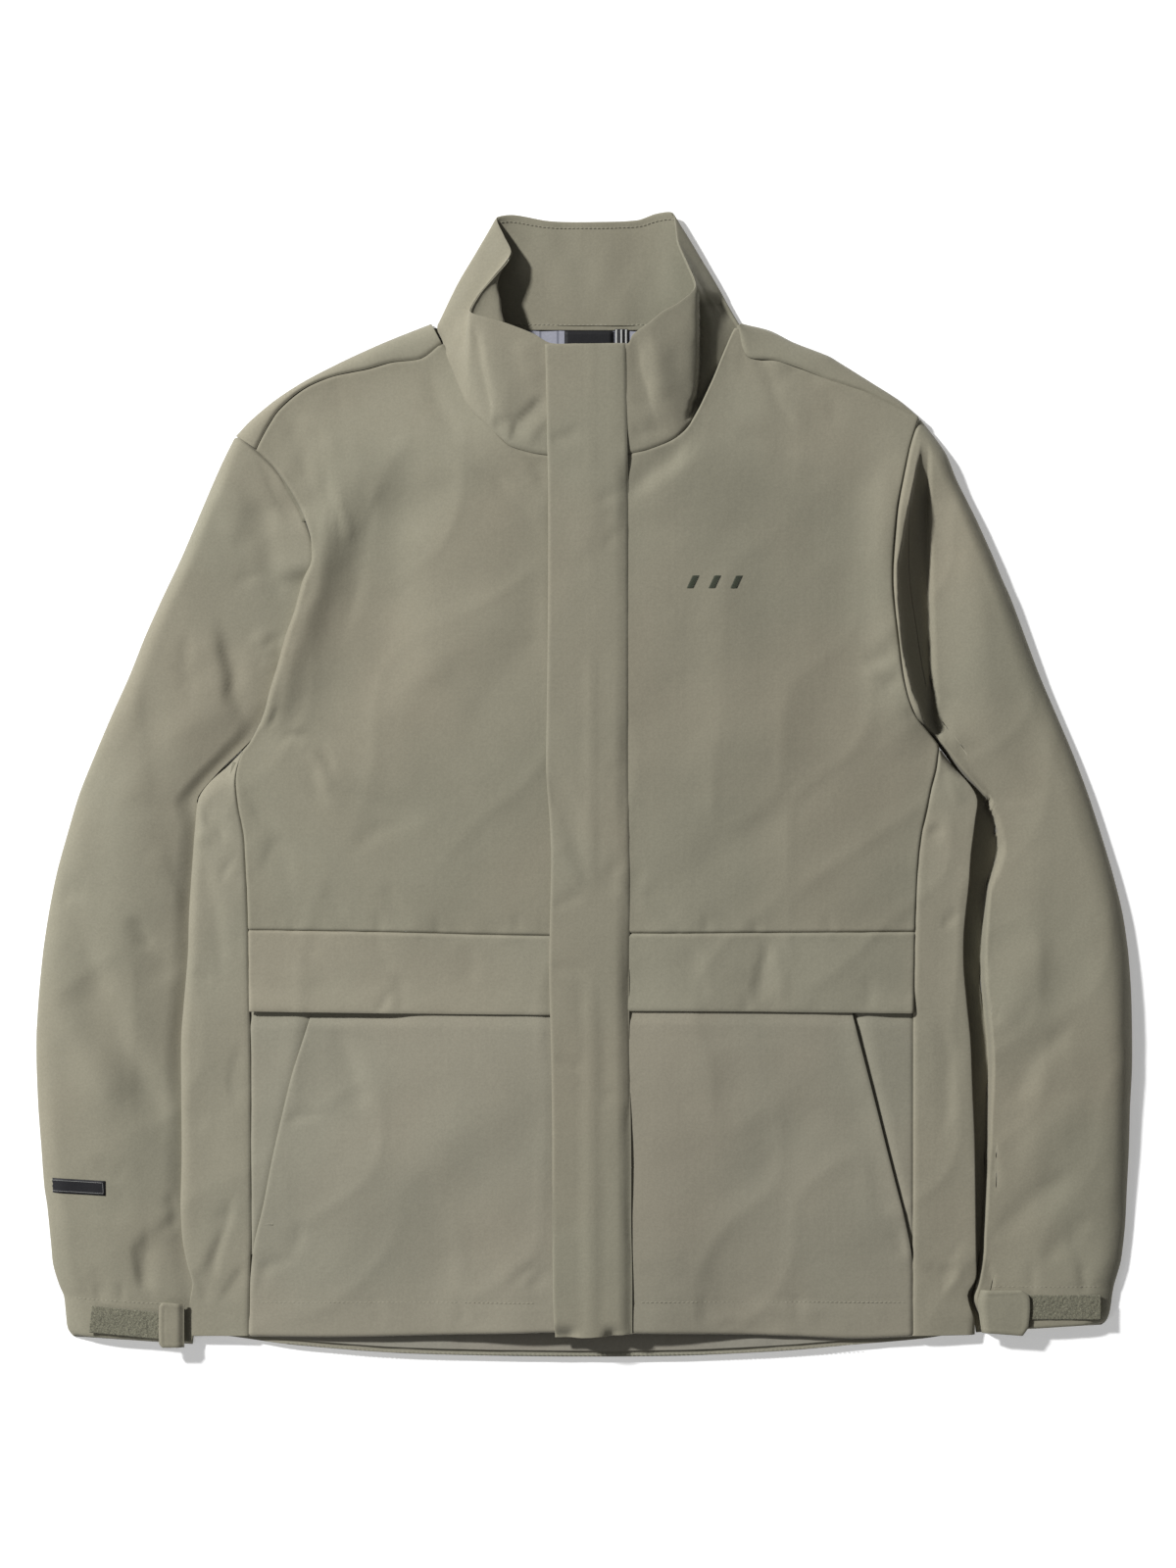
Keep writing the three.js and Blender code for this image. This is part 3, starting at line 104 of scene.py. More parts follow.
def rail(points, n=None, t=None, smooth=True):
    """Points of a curve at even fractions of its length, or at the fractions t."""
    p = arr(points)
    if smooth and len(p) > 2:
        p = catmull(p, 8)
    d = np.r_[0, np.cumsum(np.linalg.norm(np.diff(p, axis=0), axis=1))]
    t = np.linspace(0, 1, n) if t is None else np.asarray(t)
    return np.stack([np.interp(t * d[-1], d, p[:, k]) for k in range(p.shape[1])], axis=1)

def catmull(p, steps):
    """Rounds a polyline through its own points, with a mild tension so that corners stay."""
    q = np.vstack([2 * p[0] - p[1], p, 2 * p[-1] - p[-2]])
    out = []
    for i in range(1, len(q) - 2):
        a, b, c, d = q[i - 1], q[i], q[i + 1], q[i + 2]
        l0, l1, l2 = (max(1e-6, np.linalg.norm(v)) for v in (b - a, c - b, d - c))
        m1 = (c - a) / (l0 + l1) * l1 * 0.85
        m2 = (d - b) / (l1 + l2) * l1 * 0.85
        for s in np.arange(steps) / steps:
            h = s * s
            k = h * s
            out.append((2 * k - 3 * h + 1) * b + (k - 2 * h + s) * m1 + (3 * h - 2 * k) * c + (k - h) * m2)
    out.append(p[-1])
    return arr(out)

def patch(bottom, top, left, right, nu, nv, tu=None, tv=None):
    """Grid between four rails, rows from the bottom rail to the top one: (nv, nu, 2 or 3)."""
    tu = np.linspace(0, 1, nu) if tu is None else tu
    tv = np.linspace(0, 1, nv) if tv is None else tv
    B, T = rail(bottom, t=tu), rail(top, t=tu)
    L, R = rail(left, t=tv), rail(right, t=tv)
    u, v = tu[None, :, None], tv[:, None, None]
    return ((1 - v) * B[None] + v * T[None] + (1 - u) * L[:, None] + u * R[:, None]
            - ((1 - u) * (1 - v) * B[0] + u * (1 - v) * B[-1] + (1 - u) * v * T[0] + u * v * T[-1]))

def tight(n, edge=0.004):
    """Even fractions with two extra close to each end, so that an edge can turn under sharply."""
    t = np.linspace(0, 1, n)
    return np.unique(np.clip(np.r_[t, edge * 0.35, edge, edge * 2, 1 - edge * 0.35, 1 - edge, 1 - edge * 2], 0, 1))

def ease(t):
    t = np.clip(t, 0, 1)
    return t * t * (3 - 2 * t)

def near(points, x, y):
    """Distance from each place to a polyline, and how far along it the nearest point is (0 to 1)."""
    p = arr(points)[:, :2]
    seg = np.diff(p, axis=0)
    length = np.linalg.norm(seg, axis=1)
    reach = np.r_[0, np.cumsum(length)]
    best = np.full(x.shape, 1e9)
    along = np.zeros(x.shape)
    for i in range(len(seg)):
        if length[i] < 1e-9:
            continue
        t = np.clip(((x - p[i, 0]) * seg[i, 0] + (y - p[i, 1]) * seg[i, 1]) / length[i] ** 2, 0, 1)
        d = np.hypot(x - p[i, 0] - t * seg[i, 0], y - p[i, 1] - t * seg[i, 1])
        hit = d < best
        best = np.where(hit, d, best)
        along = np.where(hit, (reach[i] + t * length[i]) / reach[-1], along)
    return best, along

def x_of(points, y):
    p = arr(points)
    o = np.argsort(p[:, 1], kind="stable")
    return np.interp(y, p[o, 1], p[o, 0])

def between(points, low, high):
    p = [q for q in points if low + 0.5 < q[1] < high - 0.5]
    return [(float(x_of(points, low)), low)] + p + [(float(x_of(points, high)), high)]

# ------------------------------------------------------------------ smooth noise, always the same
def hashed(i, j, seed):
    h = (i.astype(np.int64) * 374761393 + j.astype(np.int64) * 668265263 + seed * 974634777) & 0xFFFFFFFF
    h = ((h ^ (h >> 13)) * 1274126177) & 0xFFFFFFFF
    return ((h ^ (h >> 16)) & 0xFFFFFF) / float(0xFFFFFF) * 2 - 1

def noise(x, y, size, seed=0):
    x, y = np.asarray(x, float) / size + 37.0 * seed, np.asarray(y, float) / size - 11.0 * seed
    i, j = np.floor(x), np.floor(y)
    u, v = x - i, y - j
    u, v = u * u * u * (u * (6 * u - 15) + 10), v * v * v * (v * (6 * v - 15) + 10)
    a, b = hashed(i, j, seed), hashed(i + 1, j, seed)
    c, d = hashed(i, j + 1, seed), hashed(i + 1, j + 1, seed)
    return (a * (1 - u) + b * u) * (1 - v) + (c * (1 - u) + d * u) * v

def drift(x, y, seed=0):
    """The faint unevenness of cloth that lies on a table."""
    xx, yy = x * 0.83 + y * 0.56, -x * 0.56 + y * 0.83
    crumple = 1 - np.abs(noise(x, yy, 58, seed + 6))
    return (1.5 * noise(x, y, 150, seed) + 1.25 * noise(xx, yy, 72, seed + 1) + 0.55 * noise(x, y, 34, seed + 2)
            + 0.8 * crumple ** 3 + 0.11 * noise(xx, yy, 15, seed + 3) + 0.03 * noise(x, y, 6, seed + 4))

# ------------------------------------------------------------------ folds and creases
# each: points on the drawing grid, half width (grid units), height in mm (a valley is below 0), lean
def folds(strokes, x, y):
    """Each fold has a steep side and a long side, and its crest wanders a little."""
    z = np.zeros(x.shape)
    for i, (pts, width, height) in enumerate(strokes):
        line = arr([at(*p) for p in pts])
        w = width * 0.7
        lo, hi = line.min(axis=0) - 3 * w - 3, line.max(axis=0) + 3 * w + 3
        if x.max() < lo[0] or x.min() > hi[0] or y.max() < lo[1] or y.min() > hi[1]:
            continue
        xx, yy = x + 0.35 * w * noise(x, y, 2.4 * w + 4, 70 + i), y + 0.35 * w * noise(x, y, 2.4 * w + 4, 170 + i)
        d, t = near(line, xx, yy)
        turn = side_of(line, xx, yy) * (1 if i % 2 else -1)
        far, close = (2.3, 0.8) if width < 8 else (1.35, 0.9)
        wide = w * np.where(turn > 0, far, close)
        taper = ease(t / 0.3) * ease((1 - t) / 0.3)
        z += (0.95 if width < 8 else 1.3) * height * np.exp(-(d / (wide * (0.45 + 0.55 * taper))) ** 2) * (0.06 + 0.94 * taper)
    return z

def side_of(line, x, y):
    best = np.full(x.shape, 1e9)
    side = np.ones(x.shape)
    for a, b in zip(line[:-1], line[1:]):
        s = b - a
        t = np.clip(((x - a[0]) * s[0] + (y - a[1]) * s[1]) / (s @ s), 0, 1)
        d = np.hypot(x - a[0] - t * s[0], y - a[1] - t * s[1])
        hit = d < best
        best = np.where(hit, d, best)
        side = np.where(hit, s[0] * (y - a[1]) - s[1] * (x - a[0]), side)
    return side

FRONT_FOLDS = [
    # wearer's right chest
    ([(420, 452), (414, 520), (402, 580), (388, 640), (368, 700), (346, 744)], 36, -4.2),
    ([(338, 470), (340, 500), (338, 540), (330, 600), (314, 660), (298, 710), (284, 742)], 15, 2.2),
    ([(378, 470), (374, 540), (366, 600), (350, 660)], 9, -0.7),
    ([(327, 470), (331, 490), (338, 520), (340, 560)], 3.5, -0.7),
    ([(298, 430), (312, 470), (322, 500)], 8, -0.8),
    ([(268, 470), (292, 500), (330, 520)], 9, 0.9),
    ([(284, 757), (296, 749), (314, 750), (331, 762), (340, 780), (346, 800)], 4.0, -1.9), ([(290, 768), (304, 760), (320, 768), (330, 790), (338, 820)], 5.5, 1.4),
    ([(346, 505), (354, 530), (364, 558)], 5.0, 1.1), ([(340, 505), (346, 534), (350, 560)], 3.2, -1.0),
    ([(276, 742), (282, 732), (284, 720)], 2.6, -1.1), ([(250, 800), (262, 828), (272, 842)], 3.4, -0.9), ([(268, 890), (280, 862), (276, 850)], 3.6, -0.8),
    ([(360, 870), (390, 846), (430, 842)], 5.5, -0.9), ([(478, 470), (508, 492), (536, 520), (552, 548)], 6.0, -0.9), ([(384, 930), (386, 942), (388, 952)], 2.4, -0.9),
    ([(446, 934), (450, 944), (452, 952)], 2.4, -0.8), ([(526, 930), (528, 942), (530, 952)], 2.4, -0.7), ([(300, 940), (303, 948), (305, 953)], 2.2, -0.7),
    ([(328, 764), (338, 795), (352, 834)], 5.5, 0.6),
    ([(320, 770), (326, 800), (334, 830)], 6.0, -0.9),
    ([(345, 800), (390, 822), (442, 838)], 9, -0.9),
    ([(262, 800), (290, 870), (300, 920)], 10, -0.7),
    ([(418, 702), (470, 660), (540, 596)], 26, 1.5),
    ([(470, 760), (510, 700), (556, 640)], 22, -1.2),
    ([(400, 560), (440, 500), (480, 470)], 22, -1.0),
    ([(395, 895), (410, 930), (428, 946)], 5, -0.8),
    ([(330, 905), (352, 935)], 5, -0.5),
    ([(500, 480), (530, 500), (556, 520)], 7, -0.8),
    ([(540, 470), (550, 490), (556, 506)], 4, -0.8),
    ([(440, 372), (452, 420), (470, 452)], 8, -0.8),
    ([(300, 430), (330, 440), (350, 470)], 9, 0.8),
    ([(340, 385), (348, 402), (352, 430)], 5, -0.5),
    # wearer's left chest
    ([(878, 682), (898, 672), (916, 667)], 5, -1.5),
    ([(872, 690), (895, 684), (914, 680)], 5, 0.8),
    ([(898, 704), (908, 699), (919, 694)], 4.5, -1.2),
    ([(920, 728), (930, 724), (934, 722)], 3.5, -0.9),
    ([(757, 340), (772, 362), (784, 384), (787, 408)], 7, -1.6),
    ([(770, 345), (786, 366), (800, 392)], 8, 1.0),
    ([(640, 505), (668, 480), (700, 452)], 10, -1.4),
    ([(646, 540), (700, 500), (760, 450)], 24, 1.1),
    ([(700, 900), (780, 830), (870, 770)], 26, -1.1),
    ([(690, 800), (760, 740), (840, 690)], 24, 0.9),
    ([(650, 900), (668, 922), (690, 946)], 6, -0.7),
    ([(900, 480), (905, 540), (900, 600)], 12, 0.9),
    ([(835, 395), (845, 410), (850, 440)], 5, -0.6),
    ([(655, 880), (650, 910), (652, 930)], 5, -0.6),
    ([(800, 372), (816, 384), (840, 396)], 3.6, -1.0), ([(786, 392), (796, 416), (812, 440)], 3.2, -0.9), ([(742, 448), (786, 452), (830, 470)], 7, -0.9),
    ([(768, 936), (771, 944), (772, 952)], 2.4, -0.8), ([(716, 934), (719, 944), (720, 952)], 2.4, -0.8), ([(842, 934), (846, 944), (848, 952)], 2.4, -0.8),
    # bands and lower panels
    ([(776, 954), (778, 976), (772, 1000), (768, 1028)], 4.0, -1.4), ([(790, 954), (796, 990), (800, 1030)], 5.0, 0.9), ([(754, 1012), (758, 1022), (762, 1032)], 2.6, -0.9),
    ([(700, 956), (712, 986), (716, 1030)], 7, -0.7), ([(884, 1032), (888, 1010), (884, 990)], 3.0, -0.7), ([(402, 1008), (396, 1022), (388, 1033)], 3.0, -1.2),
    ([(300, 954), (312, 968), (330, 976)], 4.0, -0.7), ([(480, 956), (486, 980), (482, 1010)], 6.0, -0.6), ([(262, 1300), (282, 1288), (306, 1284)], 3.6, -0.8),
    ([(262, 1318), (270, 1298), (268, 1280)], 3.0, -0.8), ([(520, 1310), (536, 1296), (552, 1290)], 3.4, -1.0), ([(290, 1048), (330, 1052), (370, 1054)], 5, -0.6),
    ([(712, 1318), (716, 1332), (712, 1350)], 3.2, -0.7), ([(812, 1314), (816, 1332), (812, 1350)], 3.2, -0.7), ([(720, 1350), (748, 1342), (776, 1352)], 3.6, 0.7),
    ([(470, 1316), (474, 1334), (472, 1352)], 3.0, -0.7), ([(380, 1318), (386, 1336), (384, 1354)], 3.0, -0.7), ([(912, 1246), (916, 1262), (922, 1284)], 3.2, -0.9),
    ([(404, 990), (408, 1012), (412, 1033)], 4.5, -1.0),
    ([(385, 950), (392, 966), (404, 990)], 4.5, -0.5),
    ([(250, 990), (300, 1000), (340, 996)], 10, 0.4),
    ([(346, 1045), (356, 1090), (372, 1136)], 12, -1.1),
    ([(292, 1146), (312, 1138), (332, 1135)], 4, -1.2),
    ([(309, 1238), (308, 1258), (300, 1282)], 4.5, -0.9),
    ([(557, 1288), (548, 1300), (538, 1312)], 4, -0.9),
    ([(330, 1200), (420, 1180), (520, 1120)], 28, 1.0),
    ([(700, 1240), (790, 1180), (850, 1120)], 28, -0.9),
    ([(690, 1100), (740, 1075), (800, 1070)], 20, 0.7),
    ([(650, 1290), (670, 1300), (690, 1322)], 5, -0.5),
    ([(760, 1330), (800, 1335), (850, 1331)], 8, 0.5),
    # side panels
    ([(206, 814), (216, 838), (230, 852), (243, 858)], 4.2, -1.5), ([(196, 862), (208, 850), (222, 852)], 3.8, 1.0), ([(228, 900), (236, 884), (244, 872)], 3.4, -0.9),
    ([(192, 1000), (206, 992), (222, 996)], 4, -0.6), ([(246, 1060), (238, 1090), (244, 1130)], 5, -0.7), ([(978, 930), (968, 940), (956, 944)], 3.4, -0.9), ([(940, 1290), (956, 1300), (974, 1296)], 3.6, -0.8),
    ([(243, 1215), (228, 1262), (213, 1312)], 5, -1.5),
    ([(252, 1288), (240, 1305), (224, 1327)], 4.5, -1.2),
    ([(232, 1240), (216, 1276), (204, 1300)], 5, 1.0),
    ([(200, 1290), (208, 1312), (214, 1330)], 4, -1.0),
    ([(205, 870), (222, 930), (228, 1000)], 10, -0.8),
    ([(190, 1130), (200, 1145), (215, 1150)], 5, -0.6),
    ([(942, 852), (952, 846), (962, 843)], 4, -1.2),
    ([(957, 764), (968, 790), (976, 830)], 6, 0.8),
    ([(976, 1288), (968, 1302), (958, 1314)], 4, -1.2),
    ([(990, 1262), (975, 1290), (962, 1322)], 6, 0.8),
    ([(960, 1040), (966, 1100), (962, 1160)], 9, -0.8),
]
FLAP_FOLDS = [
    ([(559, 456), (572, 450), (592, 440)], 4.5, -1.0), ([(558, 792), (576, 822), (592, 856), (606, 892)], 9, -1.5),
    ([(562, 850), (580, 880), (600, 905)], 7, 0.8), ([(561, 926), (578, 922), (598, 914)], 3.5, -0.7),
    ([(561, 980), (580, 984), (600, 992)], 4, -0.6), ([(563, 1077), (580, 1085), (604, 1094)], 4, -0.8),
    ([(640, 505), (626, 510), (608, 520)], 4, -0.7), ([(641, 541), (628, 548), (612, 562)], 4, -0.6),
    ([(641, 888), (630, 884), (622, 896), (634, 910)], 5, -0.9), ([(644, 1120), (630, 1113), (612, 1106)], 4, -0.6),
    ([(600, 470), (604, 520), (596, 580)], 16, 0.7), ([(590, 980), (610, 1060), (604, 1150)], 16, -0.6),
    ([(568, 1240), (580, 1244), (600, 1252)], 4, -0.5), ([(644, 780), (630, 784), (618, 780)], 4, -0.5),
]

# ------------------------------------------------------------------ how the jacket lies
HEM_Y, FRONT_X = -390.0, 4.9
RIGHT_X, LEFT_X = -4.2, 14.0         # edges of the two fronts beside the zip
YOKE_Y, NECK_Y = 168.0, 327.6
CLOTH_T = 0.9

def zip_z(y):
    return 20 + (y - HEM_Y) * 10 / 626

SIDE_R = sorted(C['SIDE_SEAM_R'] + C['FOLD_R'] + C['ARM_R'][1:], key=lambda p: p[1])
SIDE_L = sorted(C['SIDE_SEAM_L'] + C['ARM_L'][1:], key=lambda p: p[1])

def plain_front(x, y):
    left = x >= FRONT_X
    half = np.abs(np.where(left, x_of(SIDE_L, y), x_of(SIDE_R, y)) - FRONT_X)
    t = np.clip((np.abs(x - FRONT_X) - 46) / np.maximum(half - 46, 1), 0, 1)
    flat = zip_z(y) + (15 - zip_z(y)) * t ** 1.4
    flat = flat - 6.5 * ease((-250 - y) / 138) * ease((np.abs(x - FRONT_X) - 42) / 70)      # the hem sags on to the back
    d = np.where(left, near(C['SHOULDER_L'], x, y)[0], near(C['SHOULDER_R'], x, y)[0])
    return 10 + (flat - 10) * ease(d / 90)

def hem_lift(x, y):
    """The back's hem stands up a little from the table below the fronts."""
    return 3.6 * ease((-380 - y) / 12) * ease((262 - np.abs(x)) / 60)

ROLL_R = C['FOLD_R'][1:] + C['ARM_R'][1:3]
def front_z(x, y, fine=True):
    """Height of the middle of the front's cloth, with its folds."""
    z = plain_front(x, y)
    # the wearer's left armhole stands up beside the sleeve; the right one rolls over it
    d, t = near(C['ARM_L'], x, y)
    z = z + 7.0 * np.exp(-(d / 20) ** 2) * ease(t / 0.16) * ease((1 - t) / 0.3)
    d, t = near(ROLL_R, x, y)
    z = z + 5.0 * np.exp(-(d / 16) ** 2) * ease(t / 0.12) * ease((1 - t) / 0.15) * (x < -60)
    if fine:
        z = z + folds(FRONT_FOLDS, x, y) + drift(x, y, 3) * ease(near(C['SHOULDER_R'] + C['NECK_R'], x, y)[0] / 40) * ease(near(C['SHOULDER_L'] + C['NECK_L'], x, y)[0] / 40)
    return z

# ------------------------------------------------------------------ making meshes
def marks(length, step, gap=0.3, first=(0.0, 0.45, 1.0, 1.8, 3.0, 4.8), ends=(True, True)):
    """Fractions along a line of this length: a gap at each end, close spacing there, then even steps."""
    a = gap + (arr(first) if ends[0] else arr([0.0]))
    b = length - gap - (arr(first) if ends[1] else arr([0.0]))[::-1]
    n = max(2, int(round((b[0] - a[-1]) / step)))
    return np.unique(np.r_[a, np.linspace(a[-1], b[0], n + 1), b]) / length

def length_of(points):
    return float(np.linalg.norm(np.diff(arr(points)[:, :2], axis=0), axis=1).sum())

def border_distance(grid):
    """Distance of every point from each border, along the grid's own lines: bottom, top, left, right."""
    g = grid[..., :2]
    across = np.concatenate([np.zeros((g.shape[0], 1)), np.cumsum(np.linalg.norm(np.diff(g, axis=1), axis=2), axis=1)], axis=1)
    along = np.concatenate([np.zeros((1, g.shape[1])), np.cumsum(np.linalg.norm(np.diff(g, axis=0), axis=2), axis=0)], axis=0)
    return along, along[-1:] - along, across, across[:, -1:] - across

def tuck(grid, depth=(1.1, 1.1, 1.1, 1.1), width=0.85, pucker=0.26, seed=0):
    """A sewn edge dives into its seam, and the stitches pull small puckers beside it."""
    z = np.zeros(grid.shape[:2])
    x, y = grid[..., 0], grid[..., 1]
    for k, (d, deep) in enumerate(zip(border_distance(grid), depth)):
        if deep:
            z -= 1.35 * deep * np.exp(-(d / (0.82 * width)) ** 2)
            z += np.sign(deep) * 0.1 * np.exp(-((d - 2.6) / 2.0) ** 2)
            run = noise(x, y, 13, seed + 5 * k) + 0.6 * noise(x, y, 6, seed + 5 * k + 1)
            z += pucker * run * np.exp(-(d / 6.5) ** 2)
    return z

def normals_of(grid):
    du = np.gradient(grid, axis=1)
    dv = np.gradient(grid, axis=0)
    n = np.cross(du, dv)
    return n / np.maximum(np.linalg.norm(n, axis=2, keepdims=True), 1e-9)

def skin_mesh(grid, low, high):
    """Vertices and faces of the closed cloth between two offsets of a grid."""
    rows, cols = grid.shape[:2]
    n = normals_of(grid)
    P = np.concatenate([(grid + n * low).reshape(-1, 3), (grid + n * high).reshape(-1, 3)])
    k = rows * cols
    idx = np.arange(k).reshape(rows, cols)
    a, b, c, d = idx[:-1, :-1].ravel(), idx[:-1, 1:].ravel(), idx[1:, 1:].ravel(), idx[1:, :-1].ravel()
    F = [np.stack([a + k, b + k, c + k, d + k], 1), np.stack([a, d, c, b], 1)]
    e0, e1 = idx[0, :-1], idx[0, 1:]
    F.append(np.stack([e0, e1, e1 + k, e0 + k], 1))
    e0, e1 = idx[-1, :-1], idx[-1, 1:]
    F.append(np.stack([e1, e0, e0 + k, e1 + k], 1))
    e0, e1 = idx[:-1, 0], idx[1:, 0]
    F.append(np.stack([e1, e0, e0 + k, e1 + k], 1))
    e0, e1 = idx[:-1, -1], idx[1:, -1]
    F.append(np.stack([e0, e1, e1 + k, e0 + k], 1))
    return P, np.concatenate(F)

def make(name, P, F, material, smooth=True):
    """F is an array of quads, or a list of polygons."""
    me = bpy.data.meshes.new(name)
    me.from_pydata((np.asarray(P, float) / 1000.0).tolist(), [], [list(map(int, f)) for f in F])
    me.validate()
    me.update()
    if smooth:
        me.polygons.foreach_set("use_smooth", [True] * len(me.polygons))
    o = bpy.data.objects.new(name, me)
    bpy.context.scene.collection.objects.link(o)
    o.data.materials.append(material)
    return o

def cloth(name, grid, material, body="torso", low=-CLOTH_T / 2, high=CLOTH_T / 2, nodes=(), blend=None, declare=True):
    P, F = skin_mesh(grid, low, high)
    o = make(name, P, F, material)
    if blend:
        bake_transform(o)
    else:
        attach(o, body)
    if nodes:
        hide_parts(*nodes)
    if declare:
        # the cut size: the middle row and column's lengths, and the cloth's own area
        rows, cols = grid.shape[:2]
        wide = max(np.linalg.norm(np.diff(grid[j], axis=0), axis=1).sum() for j in (1, rows // 2, rows - 2)) / 1000
        long = max(np.linalg.norm(np.diff(grid[:, i], axis=0), axis=1).sum() for i in (1, cols // 2, cols - 2)) / 1000
        e1 = grid[1:, :-1] - grid[:-1, :-1]
        e2 = grid[:-1, 1:] - grid[:-1, :-1]
        e3 = grid[1:, 1:] - grid[:-1, 1:]
        e4 = grid[1:, 1:] - grid[1:, :-1]
        area = (np.linalg.norm(np.cross(e1, e2), axis=2).sum() + np.linalg.norm(np.cross(e3, e4), axis=2).sum()) / 2 / 1e6
        wide, long = round(float(wide) * 1.001 + 0.0005, 4), round(float(long) * 1.001 + 0.0005, 4)
        area = float(min(area, wide * long))
        area = max(area, 0.3 * wide * long)
    return o

def turned(grid, edge, radius, drop, which):
    """Rolls one border of a grid under: which is 0 bottom, 1 top, 2 left, 3 right."""
    d = border_distance(grid)[which]
    k = np.clip(1 - d / radius, 0, 1)
    grid = grid.copy()
    grid[..., 2] -= drop * (1 - np.sqrt(np.clip(1 - k ** 2, 0, 1)))
    return grid

def ribbon(curve, width, z_of, step=3.0, cols=3):
    """A strip along a curve in plan, [centre line points], with its height from z_of."""
    n = max(3, int(length_of(curve) / step))
    c = rail(curve, n)
    t = np.gradient(c, axis=0)
    t /= np.linalg.norm(t, axis=1, keepdims=True)
    nrm = np.stack([t[:, 1], -t[:, 0]], 1)          # to the right of the way it runs
    s = np.linspace(-0.5, 0.5, cols) * width
    g = c[:, None, :] + nrm[:, None, :] * s[None, :, None]
    return np.dstack([g[..., 0], g[..., 1], z_of(g[..., 0], g[..., 1])])

def join_parts(parts):
    P, F, k = [], [], 0
    for p, f in parts:
        P.append(p)
        F.append(np.asarray(f) + k)
        k += len(p)
    return np.concatenate(P), np.concatenate(F)

def capsule(a, b, radius, sides=6, up=(0, 0, 1)):
    """A short rounded thread from a to b."""
    a, b = arr(a), arr(b)
    d = b - a
    L = np.linalg.norm(d)
    d /= L
    side = np.cross(d, arr(up))
    side /= max(np.linalg.norm(side), 1e-9)
    top = np.cross(side, d)
    rings = [(0.0, 0.35), (0.18, 0.9), (0.5, 1.0), (0.82, 0.9), (1.0, 0.35)]
    P = []
    for t, r in rings:
        for i in range(sides):
            w = 2 * math.pi * i / sides
            P.append(a + d * L * t + (side * math.cos(w) + top * math.sin(w)) * radius * r)
    F = []
    for j in range(len(rings) - 1):
        for i in range(sides):
            F.append([j * sides + i, j * sides + (i + 1) % sides, (j + 1) * sides + (i + 1) % sides, (j + 1) * sides + i])
    ends = len(P)
    P += [a, b]
    for i in range(sides):
        F.append([(i + 1) % sides, i, ends, ends])
        F.append([(len(rings) - 1) * sides + i, (len(rings) - 1) * sides + (i + 1) % sides, ends + 1, ends + 1])
    return arr(P), F

def stitches(name, lines, material, body, z_of, pitch=3.2, long=2.3, radius=0.22, lift=0.12, blend=None):
    """Rows of stitches along lines in plan, each a short thread that sinks at its ends."""
    P, F, k = [], [], 0
    for line in lines:
        c = rail(line, max(2, int(length_of(line) / pitch)) * 2 + 1)
        d = np.r_[0, np.cumsum(np.linalg.norm(np.diff(c[:, :2], axis=0), axis=1))]
        n = int(d[-1] / pitch)
        for i in range(n):
            s0, s1 = i * pitch, i * pitch + long
            a = arr([np.interp(s0, d, c[:, 0]), np.interp(s0, d, c[:, 1])])
            b = arr([np.interp(s1, d, c[:, 0]), np.interp(s1, d, c[:, 1])])
            if c.shape[1] == 3:
                za, zb = np.interp(s0, d, c[:, 2]), np.interp(s1, d, c[:, 2])
            else:
                za, zb = z_of(a[:1], a[1:])[0], z_of(b[:1], b[1:])[0]
            p, f = capsule([a[0], a[1], za + lift], [b[0], b[1], zb + lift], radius)
            P.append(p)
            F += [[q + k for q in poly] for poly in f]
            k += len(p)
    polys = [[q for i, q in enumerate(poly) if q not in poly[:i]] for poly in F]
    o = make(name, np.concatenate(P), polys, material)
    if blend:
        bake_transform(o)
    else:
        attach(o, body)
    return o

# ------------------------------------------------------------------ materials
def linear(rgb):
    return tuple(((v / 255) / 12.92 if v / 255 <= 0.04045 else ((v / 255 + 0.055) / 1.055) ** 2.4) for v in rgb) + (1.0,)

def material(name):
    m = bpy.data.materials.new(name)
    m.use_nodes = True
    nt = m.node_tree
    return m, nt, nt.nodes, nt.links, nt.nodes["Principled BSDF"]

def mixed(nt, fac, a, b, mode='MIX'):
    n = nt.nodes.new("ShaderNodeMix")
    n.data_type = 'RGBA'
    n.blend_type = mode
    for socket, value in ((n.inputs[0], fac), (n.inputs[6], a), (n.inputs[7], b)):
        if isinstance(value, bpy.types.NodeSocket):
            nt.links.new(value, socket)
        else:
            socket.default_value = value
    return n.outputs[2]

def tex_noise(nt, scale, detail=2.0, rough=0.5, seed=0.0):
    coord = nt.nodes.new("ShaderNodeTexCoord")
    shift = nt.nodes.new("ShaderNodeMapping")
    shift.inputs["Location"].default_value = (seed, seed * 0.37, seed * 0.71)
    nt.links.new(coord.outputs["Object"], shift.inputs["Vector"])
    n = nt.nodes.new("ShaderNodeTexNoise")
    n.inputs["Scale"].default_value = scale
    n.inputs["Detail"].default_value = detail
    n.inputs["Roughness"].default_value = rough
    nt.links.new(shift.outputs["Vector"], n.inputs["Vector"])
    return n.outputs["Fac"]

def ramp(nt, value, lo, hi, a=(0, 0, 0, 1), b=(1, 1, 1, 1)):
    r = nt.nodes.new("ShaderNodeValToRGB")
    r.color_ramp.elements[0].position = lo
    r.color_ramp.elements[0].color = a
    r.color_ramp.elements[1].position = hi
    r.color_ramp.elements[1].color = b
    nt.links.new(value, r.inputs["Fac"])
    return r.outputs["Color"]

